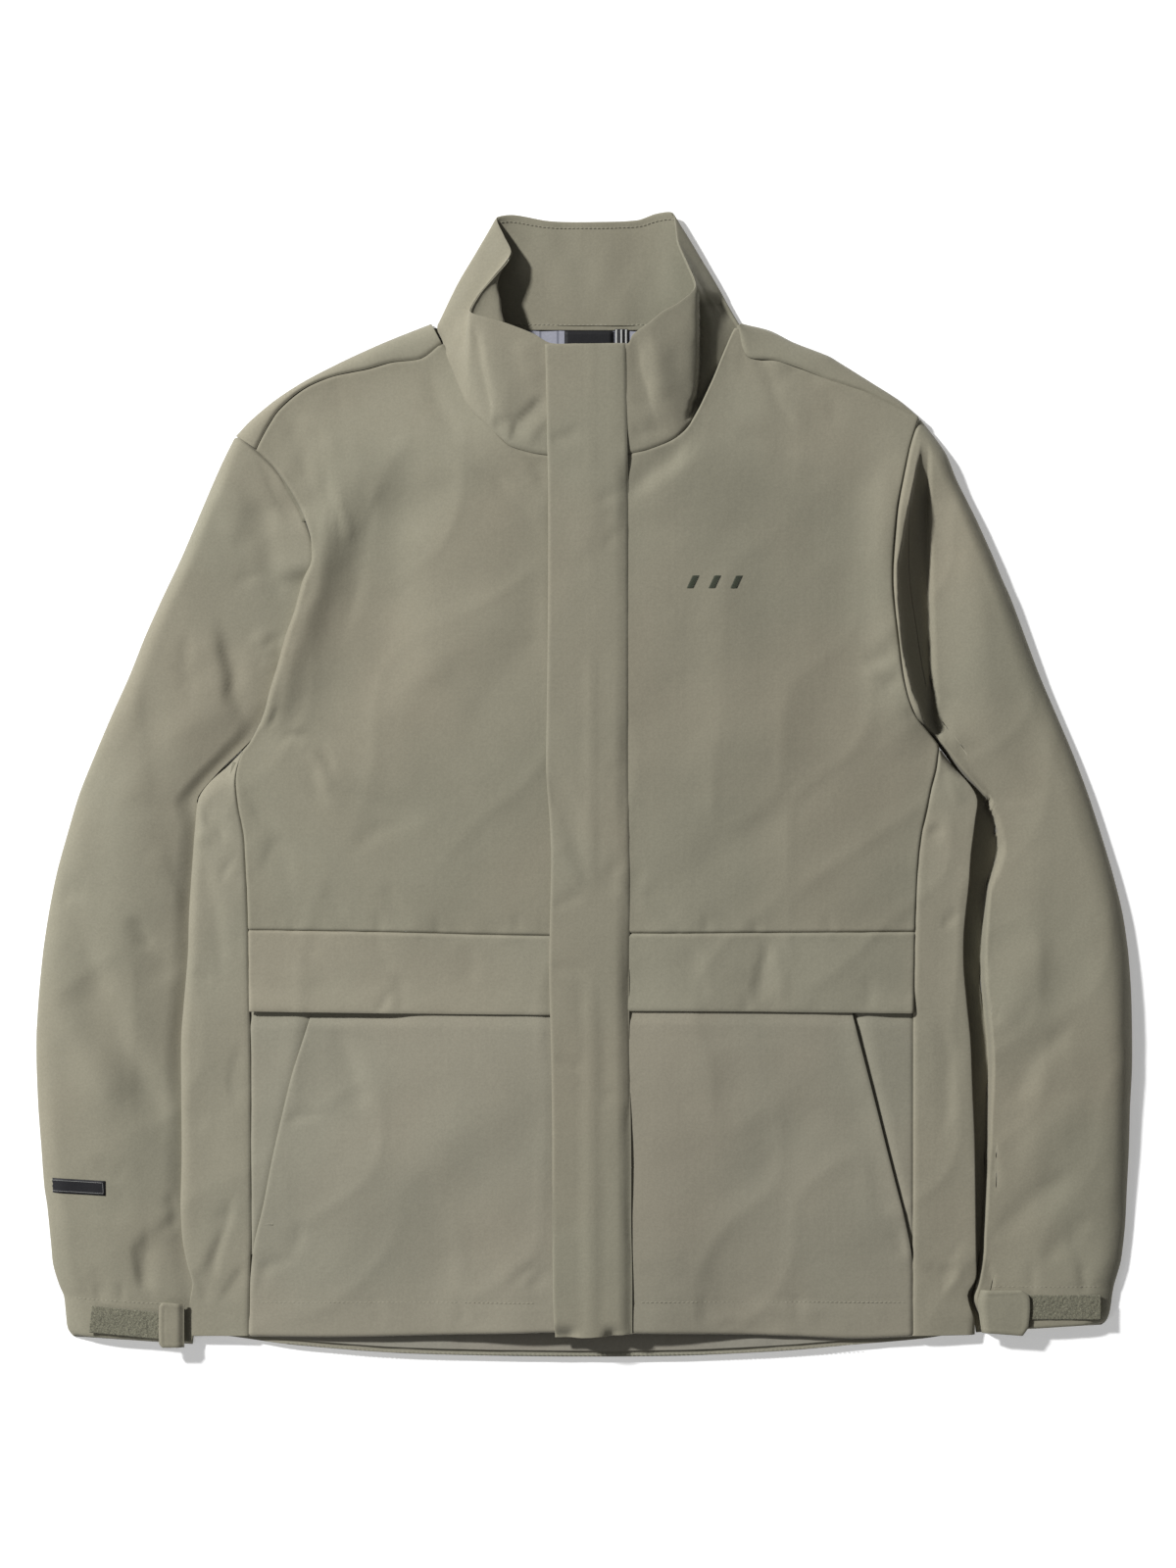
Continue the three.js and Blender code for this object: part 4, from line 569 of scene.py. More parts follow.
def woven(name, rgb, seed=0.0, rough=0.86, tint=0.5, period=0.0008, bump=0.35, depth=0.00012, sheen=0.12, turn=0.0, stripes=None):
    """Plain-woven cloth: fine threads both ways, faint slubs, and slow drifts of colour."""
    m, nt, nodes, links, bsdf = material(name)
    base = linear(rgb)
    warm = tuple(min(1, v * k) for v, k in zip(base, (1.018, 0.996, 0.99, 1)))
    cool = tuple(min(1, v * k) for v, k in zip(base, (0.992, 1.0, 0.998, 1)))
    slow = ramp(nt, tex_noise(nt, 7.0, 2.0, 0.5, seed), 0.38, 0.64)
    c = mixed(nt, slow, cool, warm)
    mid = ramp(nt, tex_noise(nt, 38.0, 3.0, 0.55, seed + 3.1), 0.3, 0.72, (0.965, 0.965, 0.965, 1), (1.03, 1.03, 1.03, 1))
    c = mixed(nt, tint, c, mixed(nt, 1.0, c, mid, 'MULTIPLY'))
    fleck = ramp(nt, tex_noise(nt, 620.0, 2.0, 0.6, seed + 9), 0.32, 0.68, (0.93, 0.93, 0.93, 1), (1.07, 1.07, 1.07, 1))
    c = mixed(nt, 0.7, c, mixed(nt, 1.0, c, fleck, 'MULTIPLY'))
    coord = nodes.new("ShaderNodeTexCoord")
    turned_to = nodes.new("ShaderNodeMapping")
    turned_to.inputs["Rotation"].default_value = (0, 0, turn)
    links.new(coord.outputs["Object"], turned_to.inputs["Vector"])
    waves = []
    for direction in ('X', 'Y'):
        w = nodes.new("ShaderNodeTexWave")
        w.bands_direction = direction
        w.inputs["Scale"].default_value = 2 * math.pi / (20 * period)
        w.inputs["Distortion"].default_value = 1.2
        w.inputs["Detail"].default_value = 1.0
        w.inputs["Detail Scale"].default_value = 0.6
        links.new(turned_to.outputs["Vector"], w.inputs["Vector"])
        waves.append(w.outputs["Fac"])
    threads = nodes.new("ShaderNodeMath")
    threads.operation = 'MULTIPLY'
    links.new(waves[0], threads.inputs[0])
    links.new(waves[1], threads.inputs[1])
    slub = tex_noise(nt, 900.0, 2.0, 0.6, seed + 7)
    high = nodes.new("ShaderNodeMath")
    high.operation = 'ADD'
    links.new(threads.outputs[0], high.inputs[0])
    links.new(slub, high.inputs[1])
    grain = ramp(nt, high.outputs[0], 0.35, 1.25, (0.93, 0.93, 0.93, 1), (1.06, 1.06, 1.06, 1))
    c = mixed(nt, 0.75, c, mixed(nt, 1.0, c, grain, 'MULTIPLY'))
    if stripes:
        s = nodes.new("ShaderNodeTexWave")
        s.bands_direction = 'X'
        s.wave_profile = 'SIN'
        s.inputs["Scale"].default_value = 2 * math.pi / (20 * stripes[0])
        links.new(coord.outputs["Object"], s.inputs["Vector"])
        c = mixed(nt, ramp(nt, s.outputs["Fac"], stripes[1], stripes[1] + 0.06), c, linear(stripes[2]))
    links.new(c, bsdf.inputs["Base Color"])
    links.new(ramp(nt, tex_noise(nt, 120.0, 2.0, 0.5, seed + 1), 0.3, 0.7, (rough - 0.05,) * 3 + (1,), (min(1, rough + 0.06),) * 3 + (1,)), bsdf.inputs["Roughness"])
    bsdf.inputs["Specular IOR Level"].default_value = 0.28
    bsdf.inputs["Sheen Weight"].default_value = sheen
    bsdf.inputs["Sheen Roughness"].default_value = 0.5
    b = nodes.new("ShaderNodeBump")
    b.inputs["Strength"].default_value = bump
    b.inputs["Distance"].default_value = depth
    links.new(high.outputs[0], b.inputs["Height"])
    soft = nodes.new("ShaderNodeBump")
    soft.inputs["Strength"].default_value = 0.25
    soft.inputs["Distance"].default_value = 0.0006
    links.new(tex_noise(nt, 160.0, 3.0, 0.5, seed + 5), soft.inputs["Height"])
    links.new(b.outputs["Normal"], soft.inputs["Normal"])
    links.new(soft.outputs["Normal"], bsdf.inputs["Normal"])
    return m

def pile(name, rgb):
    """The looped face of a touch fastener."""
    m, nt, nodes, links, bsdf = material(name)
    base = linear(rgb)
    n = tex_noise(nt, 1500.0, 4.0, 0.7)
    c = ramp(nt, n, 0.38, 0.68, tuple(v * 0.5 for v in base[:3]) + (1,), tuple(min(1, v * 1.55) for v in base[:3]) + (1,))
    links.new(c, bsdf.inputs["Base Color"])
    bsdf.inputs["Roughness"].default_value = 0.95
    bsdf.inputs["Sheen Weight"].default_value = 0.25
    b = nodes.new("ShaderNodeBump")
    b.inputs["Strength"].default_value = 0.9
    b.inputs["Distance"].default_value = 0.0005
    links.new(n, b.inputs["Height"])
    links.new(b.outputs["Normal"], bsdf.inputs["Normal"])
    return m

def metal(name, rgb, rough=0.38):
    m, nt, nodes, links, bsdf = material(name)
    base = linear(rgb)
    n = tex_noise(nt, 260.0, 4.0, 0.6)
    links.new(ramp(nt, n, 0.3, 0.75, tuple(v * 0.82 for v in base[:3]) + (1,), tuple(min(1, v * 1.12) for v in base[:3]) + (1,)), bsdf.inputs["Base Color"])
    links.new(ramp(nt, n, 0.3, 0.75, (rough - 0.08,) * 3 + (1,), (rough + 0.12,) * 3 + (1,)), bsdf.inputs["Roughness"])
    bsdf.inputs["Metallic"].default_value = 0.9
    b = nodes.new("ShaderNodeBump")
    b.inputs["Strength"].default_value = 0.12
    b.inputs["Distance"].default_value = 0.0002
    links.new(tex_noise(nt, 1900.0, 2.0), b.inputs["Height"])
    links.new(b.outputs["Normal"], bsdf.inputs["Normal"])
    return m

def plastic(name, rgb, rough=0.5):
    m, nt, nodes, links, bsdf = material(name)
    base = linear(rgb)
    n = tex_noise(nt, 320.0, 3.0, 0.5)
    links.new(ramp(nt, n, 0.3, 0.7, tuple(v * 0.88 for v in base[:3]) + (1,), tuple(min(1, v * 1.1) for v in base[:3]) + (1,)), bsdf.inputs["Base Color"])
    links.new(ramp(nt, n, 0.3, 0.7, (rough - 0.06,) * 3 + (1,), (rough + 0.08,) * 3 + (1,)), bsdf.inputs["Roughness"])
    b = nodes.new("ShaderNodeBump")
    b.inputs["Strength"].default_value = 0.15
    b.inputs["Distance"].default_value = 0.0002
    links.new(tex_noise(nt, 1200.0, 2.0), b.inputs["Height"])
    links.new(b.outputs["Normal"], bsdf.inputs["Normal"])
    return m

SHELL = (140, 136, 119)
M_CHEST_R = woven("shell_chest_right", (137, 133, 116), 0.0)
M_CHEST_L = woven("shell_chest_left", SHELL, 2.0)
M_BAND = woven("shell_band", (143, 139, 122), 4.0)
M_LOWER = woven("shell_lower", (144, 140, 124), 6.0)
M_SIDE = woven("shell_side", (143, 139, 122), 8.0)
M_FLAP = woven("shell_flap", SHELL, 10.0)
M_SLEEVE_R = woven("shell_sleeve_right", SHELL, 12.0, turn=0.33)
M_SLEEVE_L = woven("shell_sleeve_left", SHELL, 14.0, turn=-0.33)
M_YOKE = woven("shell_yoke", SHELL, 16.0)
M_COLLAR = woven("shell_collar", SHELL, 18.0)
M_INNER = woven("collar_inside", (138, 135, 118), 20.0)
M_BACK = woven("shell_back", (141, 138, 123), 22.0)
M_HEM = woven("hem_facing", (145, 141, 129), 24.0)
M_POCKET = woven("pocket_cloth", (140, 138, 126), 26.0, rough=0.8, period=0.0006)
# seam allowance cloth: the shell's fabric painted darker, as shade seen down the seam grooves
M_SEAM_PAINTED_SHADE = woven("seam_allowance_painted_shade", (120, 117, 101), 28.0)
M_LINING = woven("lining_cloth", (158, 160, 172), 30.0, rough=0.7, period=0.0005, sheen=0.2, stripes=(0.0125, 0.93, (120, 122, 134)))
M_LABEL = woven("label_black", (24, 24, 27), 32.0, rough=0.6, period=0.0005, tint=0.2)
M_TAPE = woven("zip_tape_cloth", (108, 106, 92), 34.0, period=0.0007, bump=0.6)
M_THREAD = woven("thread", (158, 154, 137), 36.0, period=0.0004, bump=0.5)
M_THREAD_PALE = woven("thread_pale", (170, 167, 150), 38.0, period=0.0004, bump=0.5)
M_BADGE = woven("badge_black", (22, 22, 26), 40.0, rough=0.55, period=0.0005, tint=0.2)
M_LINE = woven("badge_line", (176, 178, 176), 42.0, rough=0.6, period=0.0005, tint=0.2)
M_EMBROIDERY = woven("embroidery_thread", (62, 68, 52), 44.0, rough=0.55, period=0.0004, bump=0.6, sheen=0.3)
M_LOOP = pile("loop_pile", (122, 120, 102))
M_HOOK = pile("hook_pile", (104, 102, 88))
M_METAL = metal("zip_metal", (120, 120, 116))
M_TEETH = plastic("zip_teeth_plastic", (96, 94, 82))

# ------------------------------------------------------------------ front panels
def put_front(grid, depth, seed, raise_edge=None):
    """Heights for a panel of the front: the lie of the cloth, its folds, and its tucked seams."""
    x, y = grid[..., 0], grid[..., 1]
    z = front_z(x, y) + tuck(grid, depth, seed=seed)
    return np.dstack([x, y, z])

def rows_from(low, high, outer, inner, flip, across=3.4, along=3.4, gap=0.3):
    nu = marks(0.5 * (length_of(low) + length_of(high)), across, gap)
    nv = marks(0.5 * (length_of(outer) + length_of(inner)), along, gap)
    g = patch(low, high, outer, inner, 0, 0, nu, nv)
    return g[:, ::-1] if flip else g

STITCH_LINES = []
for name, flip in (("right", False), ("left", True)):
    S = {k: C[k + ('_L' if flip else '_R')] for k in ('SIDE_SEAM', 'EDGE', 'SHOULDER', 'NECK', 'BAND_TOP', 'BAND_BOT', 'POCKET', 'HEM')}
    S['EDGE_TOP'] = C['EDGE_L_TOP' if flip else 'EDGE_R_TOP']
    edge_x = LEFT_X if flip else RIGHT_X
    arm = C['ARM_L'] if flip else [(-238.5, 29)] + C['FOLD_R'][1:] + C['ARM_R'][1:]
    seam, pocket = S['SIDE_SEAM'], S['POCKET']
    band_top, band_low, hem = (S[k][::-1] if flip else S[k] for k in ('BAND_TOP', 'BAND_BOT', 'HEM'))
    upper = between(seam, -102.5 if not flip else -103.6, 22 if not flip else 26) + arm
    edge = lambda lo, hi: [(edge_x, lo), (edge_x, hi)]
    mats = (M_CHEST_L if flip else M_CHEST_R, M_BAND, M_LOWER)
    neck_end = S['NECK'][-1]
    top = S['SHOULDER'] + S['NECK'][1:]
    sides = lambda o, i: (o, i) if not flip else (i, o)       # left and right border values of a grid

    # chest
    g = rows_from(band_top, top, upper, edge(band_top[-1][1], neck_end[1]), flip)
    g = put_front(g, (1.0, 0.9) + sides(1.3, 0.0), 11 + flip)
    if not flip:      # the chest rolls over the sleeve below the armhole seam
        d, t = near(C['FOLD_R'][1:], g[..., 0], g[..., 1])
        k = np.clip(1 - d / 3.4, 0, 1) * ease(t / 0.05) * ease((1 - t) / 0.08)
        g[..., 2] -= 9.0 * (1 - np.sqrt(np.clip(1 - k ** 2, 0, 1)))
    cloth(f"front_{name}_chest_cloth", g, mats[0], nodes=(f"front_{name}_chest",))

    # waist band: sewn above, and it hangs a little clear of the panel below
    bside = between(seam, band_low[0][1], band_top[0][1])
    g = rows_from(band_low, band_top, bside, edge(band_low[-1][1], band_top[-1][1]), flip, along=3.0)
    x, y = g[..., 0], g[..., 1]
    d_low = border_distance(g)[0]
    free = ease((np.abs(x - FRONT_X) - (120 if not flip else 190)) / 30)
    z = front_z(x, y) + tuck(g, (0.0, 1.0) + sides(0.9, 0.0), seed=21 + flip)
    z += (0.9 + 2.0 * free) * np.exp(-(d_low / 14) ** 2) - 0.5 * np.exp(-(d_low / 1.0) ** 2) + 0.25 * noise(x, y, 15, 4) * np.exp(-(d_low / 8) ** 2)
    cloth(f"front_{name}_band_cloth", np.dstack([x, y, z]), mats[1], nodes=(f"front_{name}_band",))

    # lower panel: from under the band to the hem, cut away along the slanted pocket mouth
    start, foot = pocket[0], pocket[-1]
    frac = lambda pts, px: [p for p in pts if abs(p[0] - FRONT_X) < abs(px - FRONT_X) - 4]
    band_from = [start] + frac(band_low, start[0])
    band_from = [(p[0], p[1] + 5.0) for p in band_from]
    seam_foot = (float(x_of(seam, -392)), -392.0)
    hem_from = [seam_foot] + frac(hem, seam_foot[0])
    outer = [seam_foot, (float(x_of(seam, -360)), -360.0), foot] + pocket[::-1][1:] + [(start[0], start[1] + 5.0)]
    g = rows_from(hem_from, band_from, outer, edge(hem_from[-1][1], band_from[-1][1]), flip)
    x, y = g[..., 0], g[..., 1]
    seam_part = ease((-330 - y) / 12)
    dd = border_distance(g)
    d_out = dd[2] if not flip else dd[3]
    z = front_z(x, y) + tuck(g, (0.0, 0.0, 0.0, 0.0), seed=31 + flip)
    z -= 1.0 * np.exp(-(d_out / 1.3) ** 2) * seam_part
    z += ((1.1 if flip else 0.5) * np.exp(-(d_out / 9) ** 2) - 0.45 * np.exp(-(d_out / 0.9) ** 2)) * (1 - seam_part) * ease((start[1] - y) / 14)
    z -= (1.5 + 1.6 * ease((np.abs(x - FRONT_X) - (120 if not flip else 190)) / 30)) * ease((y - (np.interp(x, *np.array(sorted(band_low)).T) - 9)) / 8)      # runs under the band
    z -= 2.2 * (1 - np.sqrt(np.clip(1 - np.clip(1 - dd[0] / 2.2, 0, 1) ** 2, 0, 1)))      # turned hem
    hs = C['STITCH_HEM_L' if flip else 'STITCH_HEM_R']
    d_h, _ = near(hs, x, y)
    z += -0.35 * np.exp(-(d_h / 1.1) ** 2) + 0.16 * noise(x, y, 11, 9) * np.exp(-(dd[0] / 22) ** 2)
    cloth(f"front_{name}_lower_cloth", np.dstack([x, y, z]), mats[2], nodes=(f"front_{name}_lower",))

    # pocket facing under the mouth, and its bag
    sign = 1 if flip else -1
    seam_top = float(x_of(seam, start[1] + 4))
    f_top = [(seam_top, start[1] + 4), (start[0] - sign * 5, start[1] + 4)]
    f_low = [(float(x_of(seam, foot[1] + 1)), foot[1] + 1), (foot[0] - sign * 6, foot[1] + 1)]
    f_in = [f_low[1]] + [(x0 - sign * 6, y0) for x0, y0 in pocket[::-1][1:-1]] + [f_top[1]]
    f_out = between(seam, foot[1] + 1, start[1] + 4)
    g = rows_from(f_low, f_top, f_out, f_in, flip)
    x, y = g[..., 0], g[..., 1]
    dd = border_distance(g)
    d_out, d_in = (dd[3], dd[2]) if flip else (dd[2], dd[3])
    z = front_z(x, y) - 0.9 * np.exp(-(d_out / 1.25) ** 2) - (4.6 if flip else 2.6) * ease(1 - d_in / (13 if flip else 9)) - 0.3
    z -= 1.4 * ease((y - (start[1] - 10)) / 9)
    cloth(f"pocket_facing_{name}_cloth", np.dstack([x, y, z]), M_LOWER, nodes=(f"pocket_facing_{name}",))
    b_in = start[0] - sign * 92
    b_low = [(foot[0] - sign * 10.5, -343), (b_in - sign * 10, -350)]
    b_top = [(start[0] - sign * 5.5, start[1] - 4), (b_in, start[1] - 4)]
    g = rows_from(b_low, b_top, [b_low[0], (foot[0] - sign * 10.5, foot[1] + 14), b_top[0]], [b_low[1], b_top[1]], flip, 8, 8)
    x, y = g[..., 0], g[..., 1]
    cloth(f"pocket_bag_{name}_cloth", np.dstack([x, y, np.maximum(np.minimum(plain_front(x, y) - 6.4, front_z(x, y) - 3.0), 4.4) + 0.25 * noise(x, y, 40, 3)]), M_POCKET, low=-0.3, high=0.3, nodes=(f"pocket_bag_{name}",))

    # side panel: from the folded edge up and over to the side seam
    topy = seam[-1][1] - 1
    outer = S['EDGE'] + S['EDGE_TOP'][1:]
    seam_up = between(seam, -392, topy)
    nv = marks(length_of(seam_up), 3.4, 0.4)
    E, M = rail(outer, t=nv * 0.992), rail(seam_up, t=nv)
    if not flip:
        M = M + 0.0
    w = np.unique(np.r_[np.linspace(-0.35, 0, 6), 0.006, 0.015, 0.03, np.linspace(0, 1, 22), 0.985, 0.97])
    if flip:
        lift_z = 1.6 + (12.4 * ease((E[:, 1] + 397) / 40) + 2.4 * np.exp(-((E[:, 1] + 44) / 34) ** 2)) * ease((17 - E[:, 1]) / 16)
        lift_z = np.minimum(lift_z, front_z(E[:, 0] - 9, E[:, 1], False) - 0.5)
    else:
        lift_z = 1.6 + 7.2 * ease((E[:, 1] + 396) / 6) * ease((16 - E[:, 1]) / 18)
        lift_z = np.minimum(lift_z, front_z(E[:, 0] + 9, E[:, 1], False) - 0.6)
    cols = []
    for q in w:
        if q < 0:       # under the fold, down to the back panel
            cols.append(np.column_stack([E[:, 0] + (M[:, 0] - E[:, 0]) * (-q) * 0.75, E[:, 1], 1.6 + (lift_z - 1.6) * (1 + q / 0.35)]))
        else:
            half = np.abs(M[:, 0] - E[:, 0])
            R = np.minimum(half * 0.9, 5.0 if flip else 7.0)
            k = np.clip(1 - q * half / R, 0, 1)
            zt = front_z(M[:, 0], M[:, 1], False)
            z = lift_z + (zt - lift_z) * np.sqrt(1 - k ** 2) * (0.8 + 0.2 * ease(q * 1.1))
            cols.append(np.column_stack([E[:, 0] + (M[:, 0] - E[:, 0]) * q, E[:, 1] + (M[:, 1] - E[:, 1]) * q, z]))
    g = np.stack(cols, axis=1)
    if flip:
        g = g[:, ::-1]
    x, y = g[..., 0], g[..., 1]
    over = ease((g[..., 2] - 5) / 6)
    d_seam = border_distance(g)[2 if flip else 3]
    z = g[..., 2] + over * (folds(FRONT_FOLDS, x, y) + drift(x, y, 3)) - 1.0 * np.exp(-(d_seam / 1.25) ** 2) + 0.2 * noise(x, y, 12, 8) * np.exp(-(d_seam / 6) ** 2)
    g = np.dstack([x, y, z])
    cloth(f"side_panel_{name}_cloth", g, M_SIDE, nodes=(f"side_panel_{name}",))

    # front lining, behind
    lin_in = LEFT_X + 6.5 if flip else RIGHT_X - 6.5
    lside = [(p[0] - sign * 4, p[1]) for p in between(seam, -378, topy)] + [(p[0] - sign * 5, p[1]) for p in upper if p[1] > topy + 8]
    neck_pts = [p for p in S['NECK'][2:-1] if abs(p[0]) > 20]
    ltop = [lside[-1]] + [(p[0], p[1] - 5) for p in S['SHOULDER'][2:]] + [(p[0] + sign * 3, p[1] - 4) for p in neck_pts] + [(lin_in, neck_end[1] - 4)]
    g = rows_from([lside[0], (lin_in, -378)], ltop, lside, [(lin_in, -378), (lin_in, neck_end[1] - 4)], flip, 9, 9)
    x, y = g[..., 0], g[..., 1]
    drop = 9.6 + (6.2 - 9.6) * ease((y + 158) / 60)
    cloth(f"lining_front_{name}_cloth", np.dstack([x, y, np.maximum(np.minimum(plain_front(x, y) - drop, front_z(x, y) - 3.4), 3.1) + 0.2 * noise(x, y, 45, 6)]), M_LINING, low=-0.3, high=0.3, nodes=(f"lining_front_{name}",))

# seam allowances: narrow strips behind every seam of the front, in a cloth painted darker than the shell as shade in
# the seam grooves
parts = []
def allowance(curve, width=9.0, drop=1.75, z_of=None):
    z_of = z_of or (lambda x, y: front_z(x, y) - drop)
    parts.append(skin_mesh(ribbon(curve, width, z_of), -0.3, 0.3))
for k in ('R', 'L'):
    allowance(between(C['SIDE_SEAM_' + k], -386, 16 if k == 'R' else -36), 8.0, 2.7)
    allowance(C['BAND_TOP_' + k])
    allowance(C['SHOULDER_' + k][1:-1], 7.0)
allowance(C['ARM_R'][1:], 7.0)
P, F = join_parts(parts)
o = make("seam_allowances", P, F, M_SEAM_PAINTED_SHADE)
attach(o, "torso")

# ------------------------------------------------------------------ back
back_left = C['EDGE_R'][1:] + C['EDGE_R_TOP'][1:] + between(C['FOLD_R'][1:], C['FOLD_R'][1][1], YOKE_Y - 0.5)[1:]
back_right = C['EDGE_L'][1:] + C['EDGE_L_TOP'][1:] + between(C['ARM_L'], C['ARM_L'][1][1], YOKE_Y - 0.5)
back_low = [C['EDGE_R'][1], (-277, -389), (-262, -392.5)] + C['BACK_HEM'] + [(258, -392.5), (273, -389), C['EDGE_L'][1]]
g = patch(back_low, [back_left[-1], (0, YOKE_Y - 0.5), back_right[-1]], back_left, back_right, 0, 0, marks(560, 6, 0.3), marks(560, 6, 0.3))
x, y = g[..., 0], g[..., 1]
d = border_distance(g)
z = 0.5 + 0.25 * (noise(x, y, 60, 2) + 0.5 * noise(x, y, 25, 5)) * 0 + 0.0 * x
z = z + hem_lift(x, y) + 0.35 * np.exp(-(d[0] / 3.0) ** 2) + 0.25 * np.exp(-(d[0] / 12) ** 2) * (noise(x, y, 16, 3) + 1)
cloth("back_panel_cloth", np.dstack([x, y, z]), M_BACK, low=-0.45, high=0.45, nodes=("back_panel",))
g = patch([(p[0], p[1] + 3.2) for p in C['BACK_HEM']], [(-250, -378), (0, -378), (242, -378)], [(-252, -389.2), (-250, -378)], [(242.2, -390.6), (242, -378)],
          0, 0, marks(500, 5, 1.0), marks(16, 2.5, 0.3))
x, y = g[..., 0], g[..., 1]
cloth("back_hem_facing_cloth", np.dstack([x, y, 2.5 + hem_lift(x, y) + 0.2 * noise(x, y, 14, 7)]), M_HEM, low=-0.3, high=0.3, nodes=("back_hem_facing",))

arm_r = [(p[0] + 12, p[1]) for p in C['ARM_R'][1:]]
arm_l = [(p[0] - 12, p[1]) for p in C['ARM_L'] if p[1] > YOKE_Y]
lin_l = [(p[0] + 14, p[1] - 2) for p in back_left if p[1] > -374]
lin_r = [(p[0] - 14, p[1] - 2) for p in back_right if p[1] > -374]
lin_top = ([arm_r[-1]] + [(p[0] + 4, p[1] - 12) for p in C['OUT_R'][2:-1]] + [(-100, NECK_Y - 4), (104, NECK_Y - 4)]
           + [(p[0] - 4, p[1] - 12) for p in C['OUT_L'][2:-1]][::-1] + [arm_l[-1]])
g = patch([(lin_l[0][0], -376.5), (lin_r[0][0], -376.5)], lin_top, [(lin_l[0][0], -376.5)] + lin_l + arm_r, [(lin_r[0][0], -376.5)] + lin_r + arm_l,
          0, 0, marks(520, 7, 0.5), marks(650, 7, 0.5))
x, y = g[..., 0], g[..., 1]
ruck = 0.35 * np.sin(x / 3.6 + 0.6 * noise(x, y, 40, 2)) * np.exp(-((y - NECK_Y) / 40) ** 2)
cloth("lining_back_cloth", np.dstack([x, y, 1.75 + ruck]), M_LINING, low=-0.3, high=0.3, nodes=("lining_back",))

# ------------------------------------------------------------------ yoke: flat behind, and over each shoulder
yl = [(float(x_of(C['FOLD_R'], YOKE_Y + 0.5)), YOKE_Y + 0.5)] + C['ARM_R'] + [(-247, 248.6)]
yr = between(C['ARM_L'], YOKE_Y + 0.5, 261.8)
yt = C['OUT_R'] + [(-103, NECK_Y), (106, NECK_Y)] + C['OUT_L'][::-1]
flat = patch([yl[0], (0, YOKE_Y + 0.5), yr[0]], yt, yl, yr, 0, 0, marks(440, 7, 0.5), marks(170, 7, 0.4))
flat = np.dstack([flat[..., 0], flat[..., 1], np.full(flat.shape[:2], 0.5)])
yoke_parts = [skin_mesh(flat, -0.45, 0.45)]
def over_shoulder(out, seam, flip, seed):
    n = marks(length_of(seam), 3.0, 0.5)
    O, M = rail(out, t=n), rail(seam, t=n)
    w = np.unique(np.r_[np.linspace(0, 1, 18), 0.97, 0.985])
    rows = []
    for q in w:
        k = 1 - q
        rows.append(np.column_stack([O + (M - O) * q, np.full(len(O), 0.9 + 9.6 * math.sqrt(1 - k ** 2.3))]))
    g = np.stack(rows, axis=0)
    x, y = g[..., 0], g[..., 1]
    d = border_distance(g)[1]
    g[..., 2] += -1.0 * np.exp(-(d / 1.3) ** 2) + ease(w * 2)[:, None] * (0.4 * noise(x, y, 30, seed) + 0.2 * noise(x, y, 12, seed + 1) * np.exp(-(d / 7) ** 2))
    return (g[::-1] if not flip else g[::-1, ::-1])
yoke_parts.append(skin_mesh(over_shoulder(C['OUT_R'], C['SHOULDER_R'], False, 3), -0.45, 0.45))
yoke_parts.append(skin_mesh(over_shoulder(C['OUT_L'], C['SHOULDER_L'], True, 8), -0.45, 0.45))
P, F = join_parts(yoke_parts)
o = make("back_yoke_cloth", P, F, M_YOKE)
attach(o, "torso")
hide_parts("back_yoke")

# ------------------------------------------------------------------ stand collar: two rings, outside and inside
# stations round the neck from the centre front: foot (x, y, height) and brim (x, y, height)
STATIONS = [
    ((590, 469, 30), (590, 356, 33)), ((558, 468, 30), (562, 355.5, 33)), ((540, 465, 29), (545, 346, 33)), ((520, 458, 28), (517, 335, 32)),
    ((500, 440, 25), (500, 330, 31)), ((480, 418, 20), (482, 323, 29)), ((468, 392, 14), (489, 306, 25)), ((459, 370, 10.5), (507, 283, 21)),
    ((452, 352, 8), (522, 261, 16.5)), ((447, 338, 5), (515, 243, 12)), ((449, 331, 2.6), (508, 224, 7)), ((470, 333, 1.9), (524, 220, 4.0)),
    ((520, 334, 1.9), (560, 226, 3.0)), ((600, 334, 1.9), (600, 227, 3.0)), ((656, 334, 1.9), (650, 225, 3.0)), ((720, 333, 1.9), (670, 218.5, 3.8)),
    ((752, 331, 2.6), (686, 219, 7)), ((754, 335, 5), (691, 250, 13)), ((748, 345, 8), (701, 275, 19)), ((737, 368, 14), (708, 297, 24.5)),
    ((722, 398, 19), (691, 314, 28)), ((708, 427, 23), (675, 323, 30)), ((690, 449, 26), (661, 335, 32)), ((665, 461, 29), (645, 347, 33)),
    ((640, 467, 30), (640, 356, 33.5)), ((616, 468, 30), (616, 356, 33.5)),
]
COLLAR_FOLDS = [
    ([(482, 325), (485, 345), (492, 375), (498, 400), (503, 425), (500, 438)], 5, -2.0),
    ([(496, 332), (499, 360), (506, 395), (514, 430)], 7, 1.3),
    ([(500, 438), (515, 434), (532, 430)], 4.5, -1.2),
    ([(557, 408), (545, 419), (534, 430), (527, 445), (521, 456)], 6, -2.0),
    ([(560, 430), (548, 440), (538, 458)], 6, 1.0),
    ([(530, 345), (540, 380), (552, 400)], 12, 0.9),
    ([(648, 350), (652, 382), (660, 412), (668, 432)], 6, -1.3),
    ([(662, 345), (668, 380), (676, 420)], 9, 1.0),
    ([(706, 305), (704, 340), (704, 380), (702, 404)], 5, 1.0),
    ([(640, 452), (660, 448), (682, 442)], 5, -0.8),
    ([(470, 300), (466, 330), (462, 350)], 6, -0.8),
]
foot = arr([at(b[0], b[1]) + (b[2],) for b, t in STATIONS])
brim = arr([at(t[0], t[1]) + (t[2],) for b, t in STATIONS])
